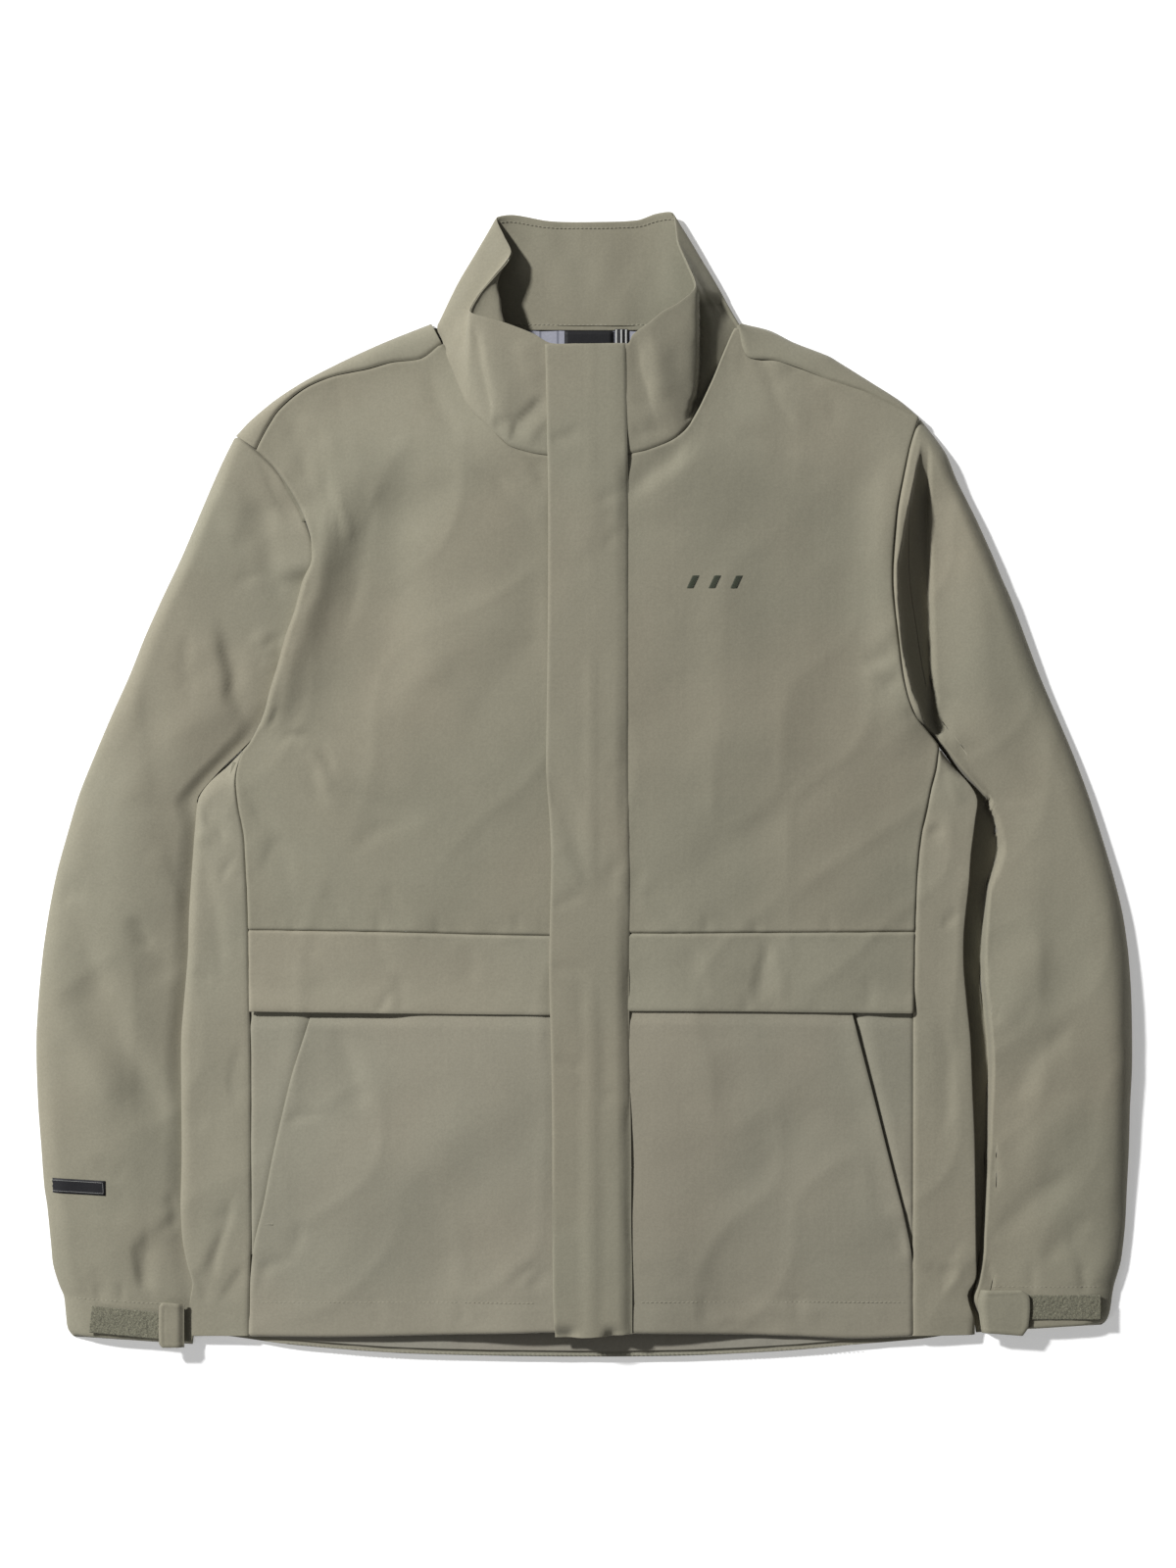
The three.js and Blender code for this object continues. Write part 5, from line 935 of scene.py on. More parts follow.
# the foot follows the fronts' own height where it is sewn to them
for i in list(range(0, 8)) + list(range(19, 26)):
    foot[i, 2] = front_z(foot[i:i + 1, 0], foot[i:i + 1, 1], False)[0] + 0.3
foot, brim = catmull(foot, 12), catmull(brim, 12)
station = np.linspace(0, len(STATIONS) - 1, len(foot))[None, :]
vv = marks(79, 3.2, 0.2)
ring = foot[None] + (brim - foot)[None] * vv[:, None, None]
n = normals_of(ring)
x, y = ring[..., 0], ring[..., 1]
front_part = (ease((ring[..., 2] - 6) / 8))
out_by = 1.0 * np.sin(np.pi * vv)[:, None] + front_part * (folds(COLLAR_FOLDS, x, y) + 0.8 * noise(x, y, 40, 12) + 0.3 * noise(x, y, 18, 13))
# the wearer's left front folds over its own side: the side drops away behind a straight edge
fx = x_of([at(*p) for p in ((694, 440), (700, 424), (707, 404), (709, 380), (709, 300))], y)
drop = 15.0 * ease((x - fx) / 2.2) * np.exp(-np.clip((x - fx) / 15.0, 0, 9)) * ease((at(0, 300)[1] - y) / 10) * ease((y - at(0, 436)[1]) / 16)
ring[..., 2] -= np.minimum(drop, np.maximum(ring[..., 2] - 4.0, 0)) * (station > 15.5)
out_by = out_by + (1 - front_part) * (2.6 * noise(x + 0.25 * y, y * 0.22, 27, 14) + 0.7 * noise(x, y * 0.5, 13, 15))
ring = ring - n * out_by[..., None] * (0.4 + 0.6 * front_part)[..., None]
n = normals_of(ring)
d_foot, d_brim = (vv * 79)[:, None], ((1 - vv) * 79)[:, None]
outer = ring - n * (0.55 - 0.25 * np.exp(-(d_brim / 1.2) ** 2))[..., None]
outer[..., 2] -= 0.9 * np.exp(-(d_foot / 1.3) ** 2) * front_part
pucker = 0.2 * (noise(x, y, 9, 31)) * (np.exp(-(d_foot / 6) ** 2) + np.exp(-((d_brim - 3) / 5) ** 2))
# the wearer's right side bulges in below its brim, so that its inside lies open to the light
bulge = 24.0 * ease((station - 3.4) / 1.6) * ease((8.1 - station) / 2.6) * np.exp(-((vv[:, None] - 0.74) / 0.15) ** 2) * ease((1 - vv[:, None]) / 0.2)
inner = ring + n * (0.55 - 0.2 * np.exp(-(d_brim / 1.2) ** 2) - 0.5 * np.exp(-((d_brim - 4.6) / 1.0) ** 2) * 0.5 + pucker)[..., None]
inner[..., 0] += bulge
inner[..., 2] += 0.06 * bulge
cloth("collar_outer_ring", outer, M_COLLAR, low=-0.45, high=0.45, nodes=("collar_outer_back", "collar_outer_right", "collar_outer_left"))
cloth("collar_inner_ring", inner[1:-1], M_INNER, low=-0.4, high=0.4, nodes=("collar_inner_back", "collar_inner_right", "collar_inner_left"))

def on_ring(v, lo, hi, off):
    """A line round the inside of the collar at a share v of its height."""
    j = int(np.argmin(np.abs(vv - v)))
    line = ring[j] + n[j] * off
    return [tuple(p) for p in line[lo:hi]]
stitches("collar_brim_stitching", [on_ring(0.945, 12 * 9, 12 * 18, 1.3)], M_THREAD, "torso", None, pitch=3.0, long=2.1, radius=0.24, lift=0.0)
neck_row = [(float(px), float(py)) for px, py in [at(516, 331.5), at(560, 332), at(600, 332), at(650, 332), at(742, 331)]]
stitches("neck_seam_stitching", [neck_row], M_THREAD_PALE, "torso", lambda a, b: np.full(len(a), 3.0), pitch=3.2, long=2.3, radius=0.3, lift=0.0)
neck_binding = ribbon([at(500, 335), at(560, 335), at(600, 335.2), at(660, 335), at(742, 334)], 3.4, lambda a, b: 2.55 + 0.1 * noise(a, b, 9, 3), step=2.5, cols=7)
cloth("neck_binding", neck_binding, M_INNER, low=-0.25, high=0.25, declare=False)

# label and hanger ribbon
def laid(x0, x1, y0, y1, z, step=2.5, wave=0.15, seed=0):
    xs, ys = np.linspace(x0, x1, max(3, int((x1 - x0) / step))), np.linspace(y0, y1, max(3, int((y1 - y0) / step)))
    X, Y = np.meshgrid(xs, ys)
    return np.dstack([X, Y, z + wave * noise(X, Y, 18, seed)])
cloth("neck_label_cloth", laid(-14, 20.5, 276, 324.8, 2.75, seed=2), M_LABEL, low=-0.22, high=0.22, nodes=("neck_label",))
g = laid(22, 31, 290, 326, 3.3, seed=4)
cloth("hanger_loop_cloth", g, M_LABEL, low=-0.25, high=0.25, nodes=("hanger_loop",), declare=False)
for i, x0 in enumerate((22.4, 26.0, 29.3)):
    cloth(f"hanger_loop_stripe_{i + 1}", laid(x0, x0 + 1.5, 290.5, 325.5, 3.72, 0.7, seed=4), M_LINE, low=-0.1, high=0.1, declare=False)
# ------------------------------------------------------------------ centre front: zip
def zip_strip(x0, x1, y0, y1, off, step=4):
    xs, ys = np.linspace(x0, x1, max(4, int((x1 - x0) / 1.6))), np.linspace(y0, y1, int((y1 - y0) / step))
    X, Y = np.meshgrid(xs, ys)
    Z = zip_z(Y) + off + 0.25 * noise(X, Y, 60, 17)
    return np.dstack([X + FRONT_X, Y, Z])
for side, s in (("right", -1), ("left", 1)):
    a, b = sorted((s * 3.1, s * 15.5))
    g = zip_strip(a, b, -380, 306, -1.25)
    d = border_distance(g)[2 if s > 0 else 3]
    g[..., 2] += 0.35 * np.exp(-((d - 1.0) / 0.8) ** 2)
    cloth(f"zip_tape_{side}_cloth", g, M_TAPE, low=-0.32, high=0.32, nodes=(f"zip_tape_{side}",))
    # teeth: moulded blocks with a rounded head, half a pitch apart on the two sides
    P, F, k = [], [], 0
    y0 = -371 + (1.25 if s > 0 else 0)
    outline = [(0.15, 0.42), (0.75, 0.62), (1.3, 0.36), (2.8, 0.5), (2.8, -0.5), (1.3, -0.36), (0.75, -0.62), (0.15, -0.42)]
    for i in range(264):
        yc = y0 + i * 2.5
        if yc > 290.6:
            break
        zc = zip_z(yc)
        ring8 = [(FRONT_X + s * px, yc + py) for px, py in outline]
        if s < 0:
            ring8 = ring8[::-1]
        pts = []
        for zz, sc in ((-2.2, 0.86), (-1.9, 1.0), (-0.35, 1.0), (0.02, 0.84)):
            cx, cy = FRONT_X + s * 1.5, yc
            pts += [(cx + (px - cx) * sc, cy + (py - cy) * sc, zc + zz) for px, py in ring8]
        P += pts
        for r in range(3):
            for q in range(8):
                F.append([k + r * 8 + q, k + (r + 1) * 8 + q, k + (r + 1) * 8 + (q + 1) % 8, k + r * 8 + (q + 1) % 8])
        F.append([k + q for q in range(8)])
        F.append([k + 24 + q for q in range(7, -1, -1)])
        k += 32
    o = make(f"zip_teeth_{side}_chain", arr(P), F, M_TEETH, smooth=False)
    import_flip = o.data
    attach(o, "torso")
    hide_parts(f"zip_teeth_{side}")

def finish_node(name, mat, bevel=0.0, segments=2):
    o = frame_nodes[name]
    for slot_ in o.material_slots:
        slot_.material = mat
    if not o.material_slots:
        o.data.materials.append(mat)
    if bevel:
        b = o.modifiers.new("edges", 'BEVEL')
        b.width = bevel
        b.segments = segments
        b.limit_method = 'ANGLE'
        b.angle_limit = math.radians(35)
    return o
frame_nodes = {n_: bpy.data.objects[n_] for n_ in frame["nodes"]} if not isinstance(frame["nodes"], dict) else {n_: (v if isinstance(v, bpy.types.Object) else bpy.data.objects[n_]) for n_, v in frame["nodes"].items()}
finish_node("zip_slider", M_METAL, 0.00035, 3)
finish_node("zip_pull", M_METAL, 0.00028, 3)
finish_node("zip_bottom_box", M_TEETH, 0.00025, 2)
finish_node("zip_top_stop_right", M_METAL, 0.0002, 2)
finish_node("zip_top_stop_left", M_METAL, 0.0002, 2)

# the slider's bridge, which holds the pull
P, F = [], []
arc = []
for i in range(13):
    w = math.pi * i / 12
    arc.append((288 - 6.4 * math.cos(w) * 0.85, 1.7 + 1.0 * math.sin(w) ** 0.7))
for i, (yy, zz) in enumerate(arc):
    base = zip_z(yy)
    for dx, dz in ((-1.4, 0.0), (-1.4, 0.55), (-0.9, 0.8), (0.9, 0.8), (1.4, 0.55), (1.4, 0.0)):
        P.append((FRONT_X + dx, yy, base + zz + dz))
for i in range(12):
    for q in range(6):
        F.append([i * 6 + q, i * 6 + (q + 1) % 6, (i + 1) * 6 + (q + 1) % 6, (i + 1) * 6 + q])
F.append([q for q in range(5, -1, -1)])
F.append([72 + q for q in range(6)])
P = arr(P)
P[:, 2] = np.minimum(P[:, 2], zip_z(288) + 2.75)
o = make("zip_slider_bridge", P, F, M_METAL)
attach(o, "zip_slider")

# ------------------------------------------------------------------ storm flap
free, root = C['FLAP_FREE'], C['FLAP_ROOT']
lo, hi = [free[0], (6, free[0][1] + 0.6), root[0]], [free[-1], (2, 311.9), root[-1]]
g = patch(lo, hi, free, root, 0, 0, marks(58, 3.0, 0.1), marks(703, 3.2, 0.1))
x, y = g[..., 0], g[..., 1]
dd = border_distance(g)
z = zip_z(y) + 3.75 + folds(FLAP_FOLDS, x, y) + 0.45 * noise(x, y, 90, 41) + 0.35 * noise(x, y, 38, 42) + 0.08 * noise(x, y, 14, 43)
hinge = ease(1 - dd[3] / 9.0)
sewn = ease((238 - y) / 26)
z = z + ((front_z(x, y) + 0.75) * sewn + (zip_z(y) + 3.5) * (1 - sewn) - z) * hinge
z -= 0.9 * np.exp(-(dd[3] / 1.2) ** 2)
z -= 0.55 * np.exp(-(dd[2] / 0.8) ** 2) + 0.4 * np.exp(-(dd[0] / 0.8) ** 2) + 0.3 * np.exp(-(dd[1] / 0.8) ** 2)
z += 0.3 * noise(x, y, 22, 45) * np.exp(-(dd[2] / 9) ** 2) + 0.12 * noise(x, y, 9, 46) * np.exp(-(dd[3] / 8) ** 2)
z = np.maximum(z, zip_z(y) + 2.6 * ease(dd[3] / 8) + 1.5 * np.exp(-((x - FRONT_X) / 8) ** 2)) - 6.0 * ease((-381 - y) / 9) * ease((dd[3] - 3) / 14) * ease((np.abs(x - FRONT_X) - 6.5) / 9)      # the loose end drops past the zip
flap_grid = np.dstack([x, y, z])
hx = 30.95
cloth("storm_flap_cloth", flap_grid, M_FLAP, low=-0.5, high=0.5, nodes=("storm_flap",),
      blend=("torso", "storm_flap", (0.0322, -0.038, 0.0293), (0.0272, -0.038, 0.0293)))

def fuzzy(name, x0, x1, y0, y1, z_of, mat, node, body, seed, down=False):
    """A patch of touch fastener: a woven ground with an uneven pile face."""
    xs, ys = np.arange(x0, x1 + 0.01, 0.7), np.arange(y0, y1 + 0.01, 0.7)
    X, Y = np.meshgrid(xs, ys)
    r = hashed(np.round(X / 0.7).astype(int), np.round(Y / 0.7).astype(int), seed)
    edge = np.minimum(np.minimum(X - x0, x1 - X), np.minimum(Y - y0, y1 - Y))
    h = z_of(X, Y)
    sel = 0.28 * r * ease(edge / 1.0)
    top, low_ = (h + 0.25 + sel, h - 0.35) if not down else (h + 0.35, h - 0.25 + sel)
    rows, cols = X.shape
    P = np.concatenate([np.dstack([X, Y, low_ + 0 * X]).reshape(-1, 3), np.dstack([X, Y, top + 0 * X]).reshape(-1, 3)])
    P_, F = skin_mesh(np.dstack([X, Y, h]), -0.1, 0.1)
    o = make(name, P, F, mat, smooth=True)
    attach(o, body)
    if node:
        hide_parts(node)
    return o
for i, yc in enumerate((205, 20, -130, -290)):
    x0 = float(x_of(free, yc)) + 2.5
    fuzzy(f"flap_hook_{i + 1}_pile", x0, x0 + 16, yc - 22.5, yc + 22.5, lambda a, b: zip_z(b) + 2.45, M_HOOK, f"flap_hook_{i + 1}", "storm_flap", 3 + i, down=True)
    fuzzy(f"flap_loop_{i + 1}_pile", x0, x0 + 15.8, yc - 22.5, yc + 22.5, lambda a, b: np.maximum(zip_z(b) + 1.15, zip_z(b) + 1.0), M_LOOP, f"flap_loop_{i + 1}", "torso", 9 + i)

# ------------------------------------------------------------------ sleeves
SLEEVE_FOLDS = [
    # wearer's right
    ([(78, 945), (98, 1000), (120, 1052), (150, 1112), (178, 1168)], 17, -3.2), ([(60, 1010), (90, 1080), (130, 1150)], 18, 1.2),
    ([(140, 935), (158, 962), (180, 1010)], 15, -1.1), ([(152, 1250), (150, 1285), (156, 1322)], 8, -1.4), ([(172, 1245), (178, 1256)], 6, -0.8),
    ([(225, 632), (234, 662), (240, 702), (252, 742)], 10, -1.6), ([(262, 640), (274, 656), (284, 676)], 9, 1.0),
    ([(205, 545), (200, 620), (180, 700)], 26, 1.2), ([(255, 500), (280, 560), (290, 620)], 12, -1.2), ([(222, 470), (238, 520), (240, 570)], 12, 0.9),
    ([(120, 760), (150, 860), (170, 930)], 24, 1.0), ([(60, 1200), (100, 1230), (150, 1235)], 16, -0.8), ([(95, 1290), (110, 1310), (112, 1325)], 5, -0.6),
    ([(262, 462), (290, 520), (318, 552)], 5, -0.6), ([(70, 1270), (76, 1300), (84, 1326)], 7, 0.6),
    ([(226, 636), (232, 668), (242, 716), (258, 756)], 5.5, -0.7), ([(216, 640), (224, 676), (232, 722)], 6.5, 1.3), ([(272, 662), (280, 656), (292, 660)], 3.4, -1.2), ([(268, 672), (276, 678), (286, 672)], 3.6, 0.9),
    ([(240, 600), (262, 590), (290, 588)], 6, -0.9), ([(196, 640), (192, 680), (200, 716)], 8, -0.8), ([(60, 920), (78, 912), (92, 918)], 6, -0.9), ([(132, 930), (146, 944), (160, 972)], 5.5, -1.3),
    ([(96, 1180), (112, 1196), (134, 1204)], 6, -0.7), ([(172, 1212), (180, 1232), (182, 1256)], 4.0, -1.2), ([(140, 1262), (143, 1290), (148, 1318)], 4.2, -1.2), ([(160, 860), (176, 900), (184, 936)], 7, 0.9),
    ([(100, 1306), (102, 1318), (104, 1328)], 2.6, -0.8), ([(126, 1306), (128, 1318), (127, 1328)], 2.6, -0.8), ([(150, 700), (160, 760), (158, 820)], 14, -0.9),
    # wearer's left
    ([(1002, 1020), (1010, 1034), (1022, 1040)], 3.6, -1.2), ([(1000, 1180), (1008, 1196), (1020, 1200)], 3.6, -1.0), ([(1004, 1284), (1010, 1300), (1012, 1316)], 3.2, -1.0), ([(1096, 1288), (1102, 1304), (1104, 1318)], 3.4, -1.0),
    ([(1050, 1284), (1054, 1300), (1052, 1318)], 3.4, -0.7), ([(1100, 560), (1108, 600), (1106, 640)], 8, 0.0), ([(950, 700), (962, 712), (980, 716)], 4, -0.8),
    ([(1020, 1122), (1056, 1082), (1092, 1040)], 14, -1.4), ([(1010, 1262), (1050, 1226), (1092, 1190)], 14, -1.2), ([(1060, 1292), (1086, 1264), (1112, 1238)], 10, -0.8),
    ([(1006, 984), (1000, 992), (994, 1002)], 5, -1.2), ([(1010, 1060), (1040, 1010), (1060, 950)], 18, 1.2), ([(1030, 1200), (1070, 1150), (1110, 1110)], 18, 1.1),
    ([(985, 480), (1010, 560), (1040, 640)], 20, 1.1), ([(960, 470), (970, 530), (976, 600)], 12, -0.9), ([(1100, 900), (1120, 1000), (1122, 1100)], 22, 0.9),
    ([(1030, 700), (1060, 780), (1075, 860)], 24, -1.0), ([(1090, 1250), (1100, 1280), (1104, 1312)], 7, -0.7), ([(1004, 1150), (1014, 1180), (1012, 1220)], 6, -0.8),
]
def crest(v):
    return np.where(v < 0.3, 10.5 + 5.5 * ease(v / 0.3), 16 + (14.6 - 16) * ease((v - 0.3) / 0.6))

ARM_RIDGE = [at(*p) for p in ((956, 762), (940, 736), (926, 702), (917, 662), (913, 620), (912, 582), (921, 532), (932, 482), (943, 438))][::1]
ARM_VALLEY = [at(*p) for p in ((958, 764), (953, 740), (948, 680), (946, 600), (945, 520), (945, 438))]
SLEEVES = {}
for name, flip in (("right", False), ("left", True)):
    K = '_L' if flip else '_R'
    body = f"sleeve_{name}"
    armpit = [(280.7, -10.5), (266.8, 9), (254.6, 26)] if flip else [(-275.5, -9.8), (-261.5, 8.5), (-245.6, 24), (-236, 33.6)]
    under_roll = 0.0 if flip else 8.0
    fold = [] if flip else [(p[0] + under_roll * math.sin(math.pi * min(1, (i + 0.6) / len(C['FOLD_R'][1:]))), p[1]) for i, p in enumerate(C['FOLD_R'][1:])]
    arm = C['ARM_L'][1:] if flip else fold + C['ARM_R'][1:] + C['ARM_R_TIP'][1:]
    # the inner fold runs in under the torso's edge
    if flip:
        edge_of = lambda y, off: float(x_of(C['EDGE_L'], y)) + off
        below = [(edge_of(p[1], 1.2 - 3.4 * float(ease((p[1] + 384) / 12))) if p[1] > -380 else p[0] - 4, p[1]) for p in C['SLV_IN_L'][::-1][:-1]] + armpit
        below_under = [(edge_of(p[1], 0.7) if p[1] > -380 else p[0] - 4, p[1]) for p in C['SLV_IN_L'][::-1][:-1]] + armpit
    else:
        below = [(p[0] + 7.0 * float(ease((p[1] + 402) / 10)), p[1]) for p in C['SLV_IN_R'][::-1][:-1]] + armpit
    inner_rail, outer_rail = below + arm, C['SLV_OUT' + K][::-1]
    at_pit = length_of(below) / length_of(inner_rail)
    nv = marks(690, 3.6, 0.1)
    nv = nv[nv < 0.9975]
    O, I = rail(outer_rail, t=nv), rail(inner_rail, t=nv)
    nu = marks(165, 3.6, 0.15)
    if flip:
        nu = np.unique(np.r_[nu, 1 - np.arange(1.4, 34, 1.4) / 165])
    # the top also turns under at the outer fold
    U = np.r_[[-0.03, -0.018, -0.008], nu]
    W = np.linalg.norm(I - O, axis=1)[:, None]
    absU = np.abs(U)[None, :, None]
    g = O[:, None] + (I - O)[:, None] * absU
    x, y = g[..., 0], g[..., 1]
    V = nv[:, None] + 0 * U[None]
    dO, dI = np.abs(U)[None] * W, (1 - U)[None] * W
    top = crest(V)
    Ro = np.minimum(19.0, W * 0.45)
    Ro = np.minimum(Ro, 19.0 - 8.0 * ease((V - 0.6) / 0.25))
    dome = 0.08 if flip else 0.06 + 0.44 * ease((0.86 - V) / 0.3)
    zo = 1.5 + (top - 1.5) * ((1 - dome) * np.sqrt(1 - np.clip(1 - dO / Ro, 0, 1) ** 2.2) + dome * np.sin(np.pi / 2 * np.clip(dO / (W * (0.45 if flip else 0.85)), 0, 1)))
    Ri = np.minimum(19.0 if flip else 9.0, W * 0.4)
    open_ = ease((V - at_pit) / 0.05)
    if flip:
        wide = np.interp(y, [at(0, k)[1] for k in (1362, 1340, 1283, 1217, 1150, 1083, 1000, 967, 906, 866, 832, 812, 792, 775)], [3.0, 4.4, 5.6, 9.0, 12.0, 15.5, 14.6, 16.0, 16.0, 23.6, 14.8, 3.4, 2.0, 0.5])
        zi = 1.5 + (top - 1.5) * (0.78 * ease((dI - wide) / 3.4) + 0.22 * ease((dI - wide) / 42))
    else:
        zi = 7.4 + (top - 7.4) * (0.35 * ease((dI - 4) / 14) + 0.65 * ease((dI - 4) / 60))
    seam_z = front_z(I[:, 0], I[:, 1], False)[:, None]
    if flip:
        # a strip stands up beside the seam, then the cloth falls steeply into a straight valley
        rx, vx = x_of(ARM_RIDGE, y), x_of(ARM_VALLEY, y)
        win = ease((252 - y) / 16) * ease((y - 27) / 12)
        s = np.clip((x - rx) / np.maximum(vx - rx, 1.2), 0, 1)
        zr, zv = seam_z + 3.4, 2.9
        slope = zr + (zv - zr) * s ** 0.5
        beyond = zv + (top - zv) * (0.45 * ease((x - vx) / 3.2) + 0.55 * ease((x - vx) / 42))
        z_arm = np.where(x < vx, slope, beyond)
        z_open = (top + (seam_z - top) * np.exp(-(dI / 24) ** 2)) * (1 - win) + z_arm * win
    else:
        on_fold = near(C['FOLD_R'][1:-2], I[:, 0] - 0, I[:, 1])[0][:, None]
        k = ease(1 - on_fold / 16)
        meet = (seam_z - 3.0 * ease((238 - y) / 46)) * (1 - k) + 8.5 * k
        z_open = top + (meet - top) * np.exp(-(dI / 24) ** 2)
    z = zo * (zi / np.maximum(top, 1e-6)) * (1 - open_) + open_ * (zo + (z_open - top) * ease(dO / 34))
    narrow = ease((1 - V) / 0.10)
    z = z * narrow + (1 - narrow) * (1.5 + (seam_z + 0 * V - 1.5) * np.sqrt(1 - np.clip(1 - dO / 10, 0, 1) ** 2))
    z = np.where(U[None] < 0, 1.15, z)
    body_of_it = ease(dO / 12) * ease((dI + 30 * open_) / 12)
    z = z + body_of_it * (folds(SLEEVE_FOLDS, x, y) + 0.95 * drift(x, y, 51 + 7 * flip))
    d_cuff = (V * 690)
    z = z - (1.6 if flip else 2.4) * np.exp(-(dI / 1.5) ** 2) * open_ + 0.22 * noise(x, y, 12, 60) * np.exp(-(dI / 7) ** 2) * open_
    d_st, _ = near(C['STITCH_CUFF' + K], x, y)
    z = z - (U[None] >= 0) * (0.4 * np.exp(-(d_st / 1.2) ** 2) - 0.2 * noise(x, y, 10, 61) * np.exp(-(d_cuff / 20) ** 2))
    z = z - (U[None] >= 0) * ease(dO / 6) * 2.4 * (1 - np.sqrt(1 - np.clip(1 - d_cuff / 2.4, 0, 1) ** 2))
    z = np.maximum(z, 1.15)
    g = np.dstack([x, y, z])
    joint = ("torso", body) + ((( -232 / 1.044) / 1.044 / 1000, (-0.3 * 232 / 1.044) / 1.044 / 1000, 0.005), ((-335 / 1.044) / 1.044 / 1000, (-0.3 * 335 / 1.044) / 1.044 / 1000, 0.005)) if not flip else \
            ("torso", body) + (((242 / 1.044) / 1.044 / 1000, (-0.3 * 242 / 1.044) / 1.044 / 1000, 0.005), ((345 / 1.044) / 1.044 / 1000, (-0.3 * 345 / 1.044) / 1.044 / 1000, 0.005))
    grid = g if not flip else g[:, ::-1]
    cloth(f"sleeve_{name}_top_cloth", grid, M_SLEEVE_L if flip else M_SLEEVE_R, nodes=(f"sleeve_{name}_top",), blend=joint)
    SLEEVES[name] = (x, y, z, joint)

    nu2, nv2 = marks(165, 6, 0.6), marks(690, 6, 0.0)
    nv2 = nv2[nv2 < 0.992]
    O2, I2 = rail(outer_rail, t=nv2), rail((below_under if flip else below) + (C['ARM_L'][1:] if flip else C['FOLD_R'][1:] + C['ARM_R'][1:] + C['ARM_R_TIP'][1:]), t=nv2)
    g = O2[:, None] + (I2 - O2)[:, None] * nu2[None, :, None]
    shift = np.exp(-(nv2 * 690 / 14) ** 2)[:, None]
    g = np.dstack([g[..., 0], g[..., 1] - 1.6 * shift, 0.5 + 0.35 * shift + 0.4 * shift * noise(g[..., 0], g[..., 1], 14, 5)])
    if flip:
        g = g[:, ::-1]
    cloth(f"sleeve_{name}_under_cloth", g, M_SLEEVE_L if flip else M_SLEEVE_R, low=-0.45, high=0.45, nodes=(f"sleeve_{name}_under",), blend=joint)

    # cuff: stitching; the loop strips and tabs follow below
    def cuff_top(a, b, x=x, y=y, z=z):
        a, b = np.asarray(a, float), np.asarray(b, float)
        out = []
        for p, q in zip(a.ravel(), b.ravel()):
            k = int(np.argmin((x - p) ** 2 + (y - q) ** 2))
            out.append(z.ravel()[k])
        return arr(out).reshape(a.shape)
    inset_line = rail(C['STITCH_CUFF' + K], 12)
    if flip:
        inset_line = inset_line[(inset_line[:, 0] > 284) & (inset_line[:, 0] < 372)]
    else:
        inset_line = inset_line[(inset_line[:, 0] > -366) & (inset_line[:, 0] < -286)]
    stitches(f"cuff_stitching_{name}", [[tuple(p) for p in inset_line]], M_THREAD, body, lambda a, b: cuff_top(a, b) + 0.52, pitch=3.2, long=2.2, radius=0.26, lift=0.0)

# pile strips at the cuffs, as four-cornered patches
def pile_quad(name, corners, z, mat, node, body, seed, step=0.75):
    a, b, c, d = (arr(p) for p in corners)       # bottom left, top left, top right, bottom right
    nu, nv = int(np.linalg.norm(c - b) / step), int(np.linalg.norm(b - a) / step)
    u, v = np.linspace(0, 1, nu)[None, :, None], np.linspace(0, 1, nv)[:, None, None]
    g = (1 - v) * ((1 - u) * a + u * d) + v * ((1 - u) * b + u * c)
    X, Y = g[..., 0], g[..., 1]
    i, j = np.meshgrid(np.arange(nu), np.arange(nv))
    r = hashed(i, j, seed)
    edge = np.minimum(np.minimum(i, nu - 1 - i), np.minimum(j, nv - 1 - j))
    top = z + 0.3 + 0.34 * r * np.clip(edge / 1.5, 0, 1) + 0.15 * noise(X, Y, 5, seed)
    P_, F = skin_mesh(np.dstack([X, Y, X * 0]), -0.1, 0.1)
    P = np.concatenate([np.dstack([X, Y, z - 0.4 + 0 * X]).reshape(-1, 3), np.dstack([X, Y, top]).reshape(-1, 3)])
    o = make(name, P, F, mat)
    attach(o, body)
    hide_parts(node)
pile_quad("cuff_loop_right_pile", [C['LOOP_R'][0], C['LOOP_R'][1], (-289, -375.6), (-289, -394.6)], 12.1, M_LOOP, "cuff_loop_right", "sleeve_right", 21)
pile_quad("cuff_loop_left_pile", [(300, -379.4), (300, -361.9), C['LOOP_L'][2], C['LOOP_L'][3]], 12.1, M_LOOP, "cuff_loop_left", "sleeve_left", 22)
pile_quad("cuff_hook_right_pile", [(-300.2, -393), (-300.2, -378), (-289, -378), (-289, -393)], 12.95, M_HOOK, "cuff_hook_right", "cuff_tab_right", 23)
pile_quad("cuff_hook_left_pile", [(300, -379), (300, -363), (314.5, -363), (314.5, -379)], 12.95, M_HOOK, "cuff_hook_left", "cuff_tab_left", 24)

# cuff tabs: double cloth with a stitched edge, sewn to the sleeve at the inner end
def tab(name, lo, hi, left, right, body, parent, start, end, root_left, seed, edge_lines):
    g = patch(lo, hi, left, right, 0, 0, marks(24, 1.4, 0.05, first=(0, .4, .9, 1.6)), marks(30, 1.4, 0.05, first=(0, .4, .9, 1.6)))
    x, y = g[..., 0], g[..., 1]
    d = border_distance(g)
    e = np.minimum(np.minimum(d[0], d[1]), np.minimum(d[2] + (99 if root_left else 0), d[3] + (0 if root_left else 99)))
    root = d[2] if root_left else d[3]
    z = 14.35 + 0.25 * noise(x, y, 14, seed) - 0.5 * np.exp(-(e / 0.9) ** 2) + 0.25 * np.exp(-((e - 2.2) / 1.4) ** 2) - 0.3 * np.exp(-((e - 3.6) / 0.7) ** 2)
    z -= 2.3 * ease(1 - root / 5.0)
    g = np.dstack([x, y, z])
    cloth(name, g, M_YOKE, low=-0.55, high=0.55, nodes=(body,), blend=(parent, body, start, end))
    return g
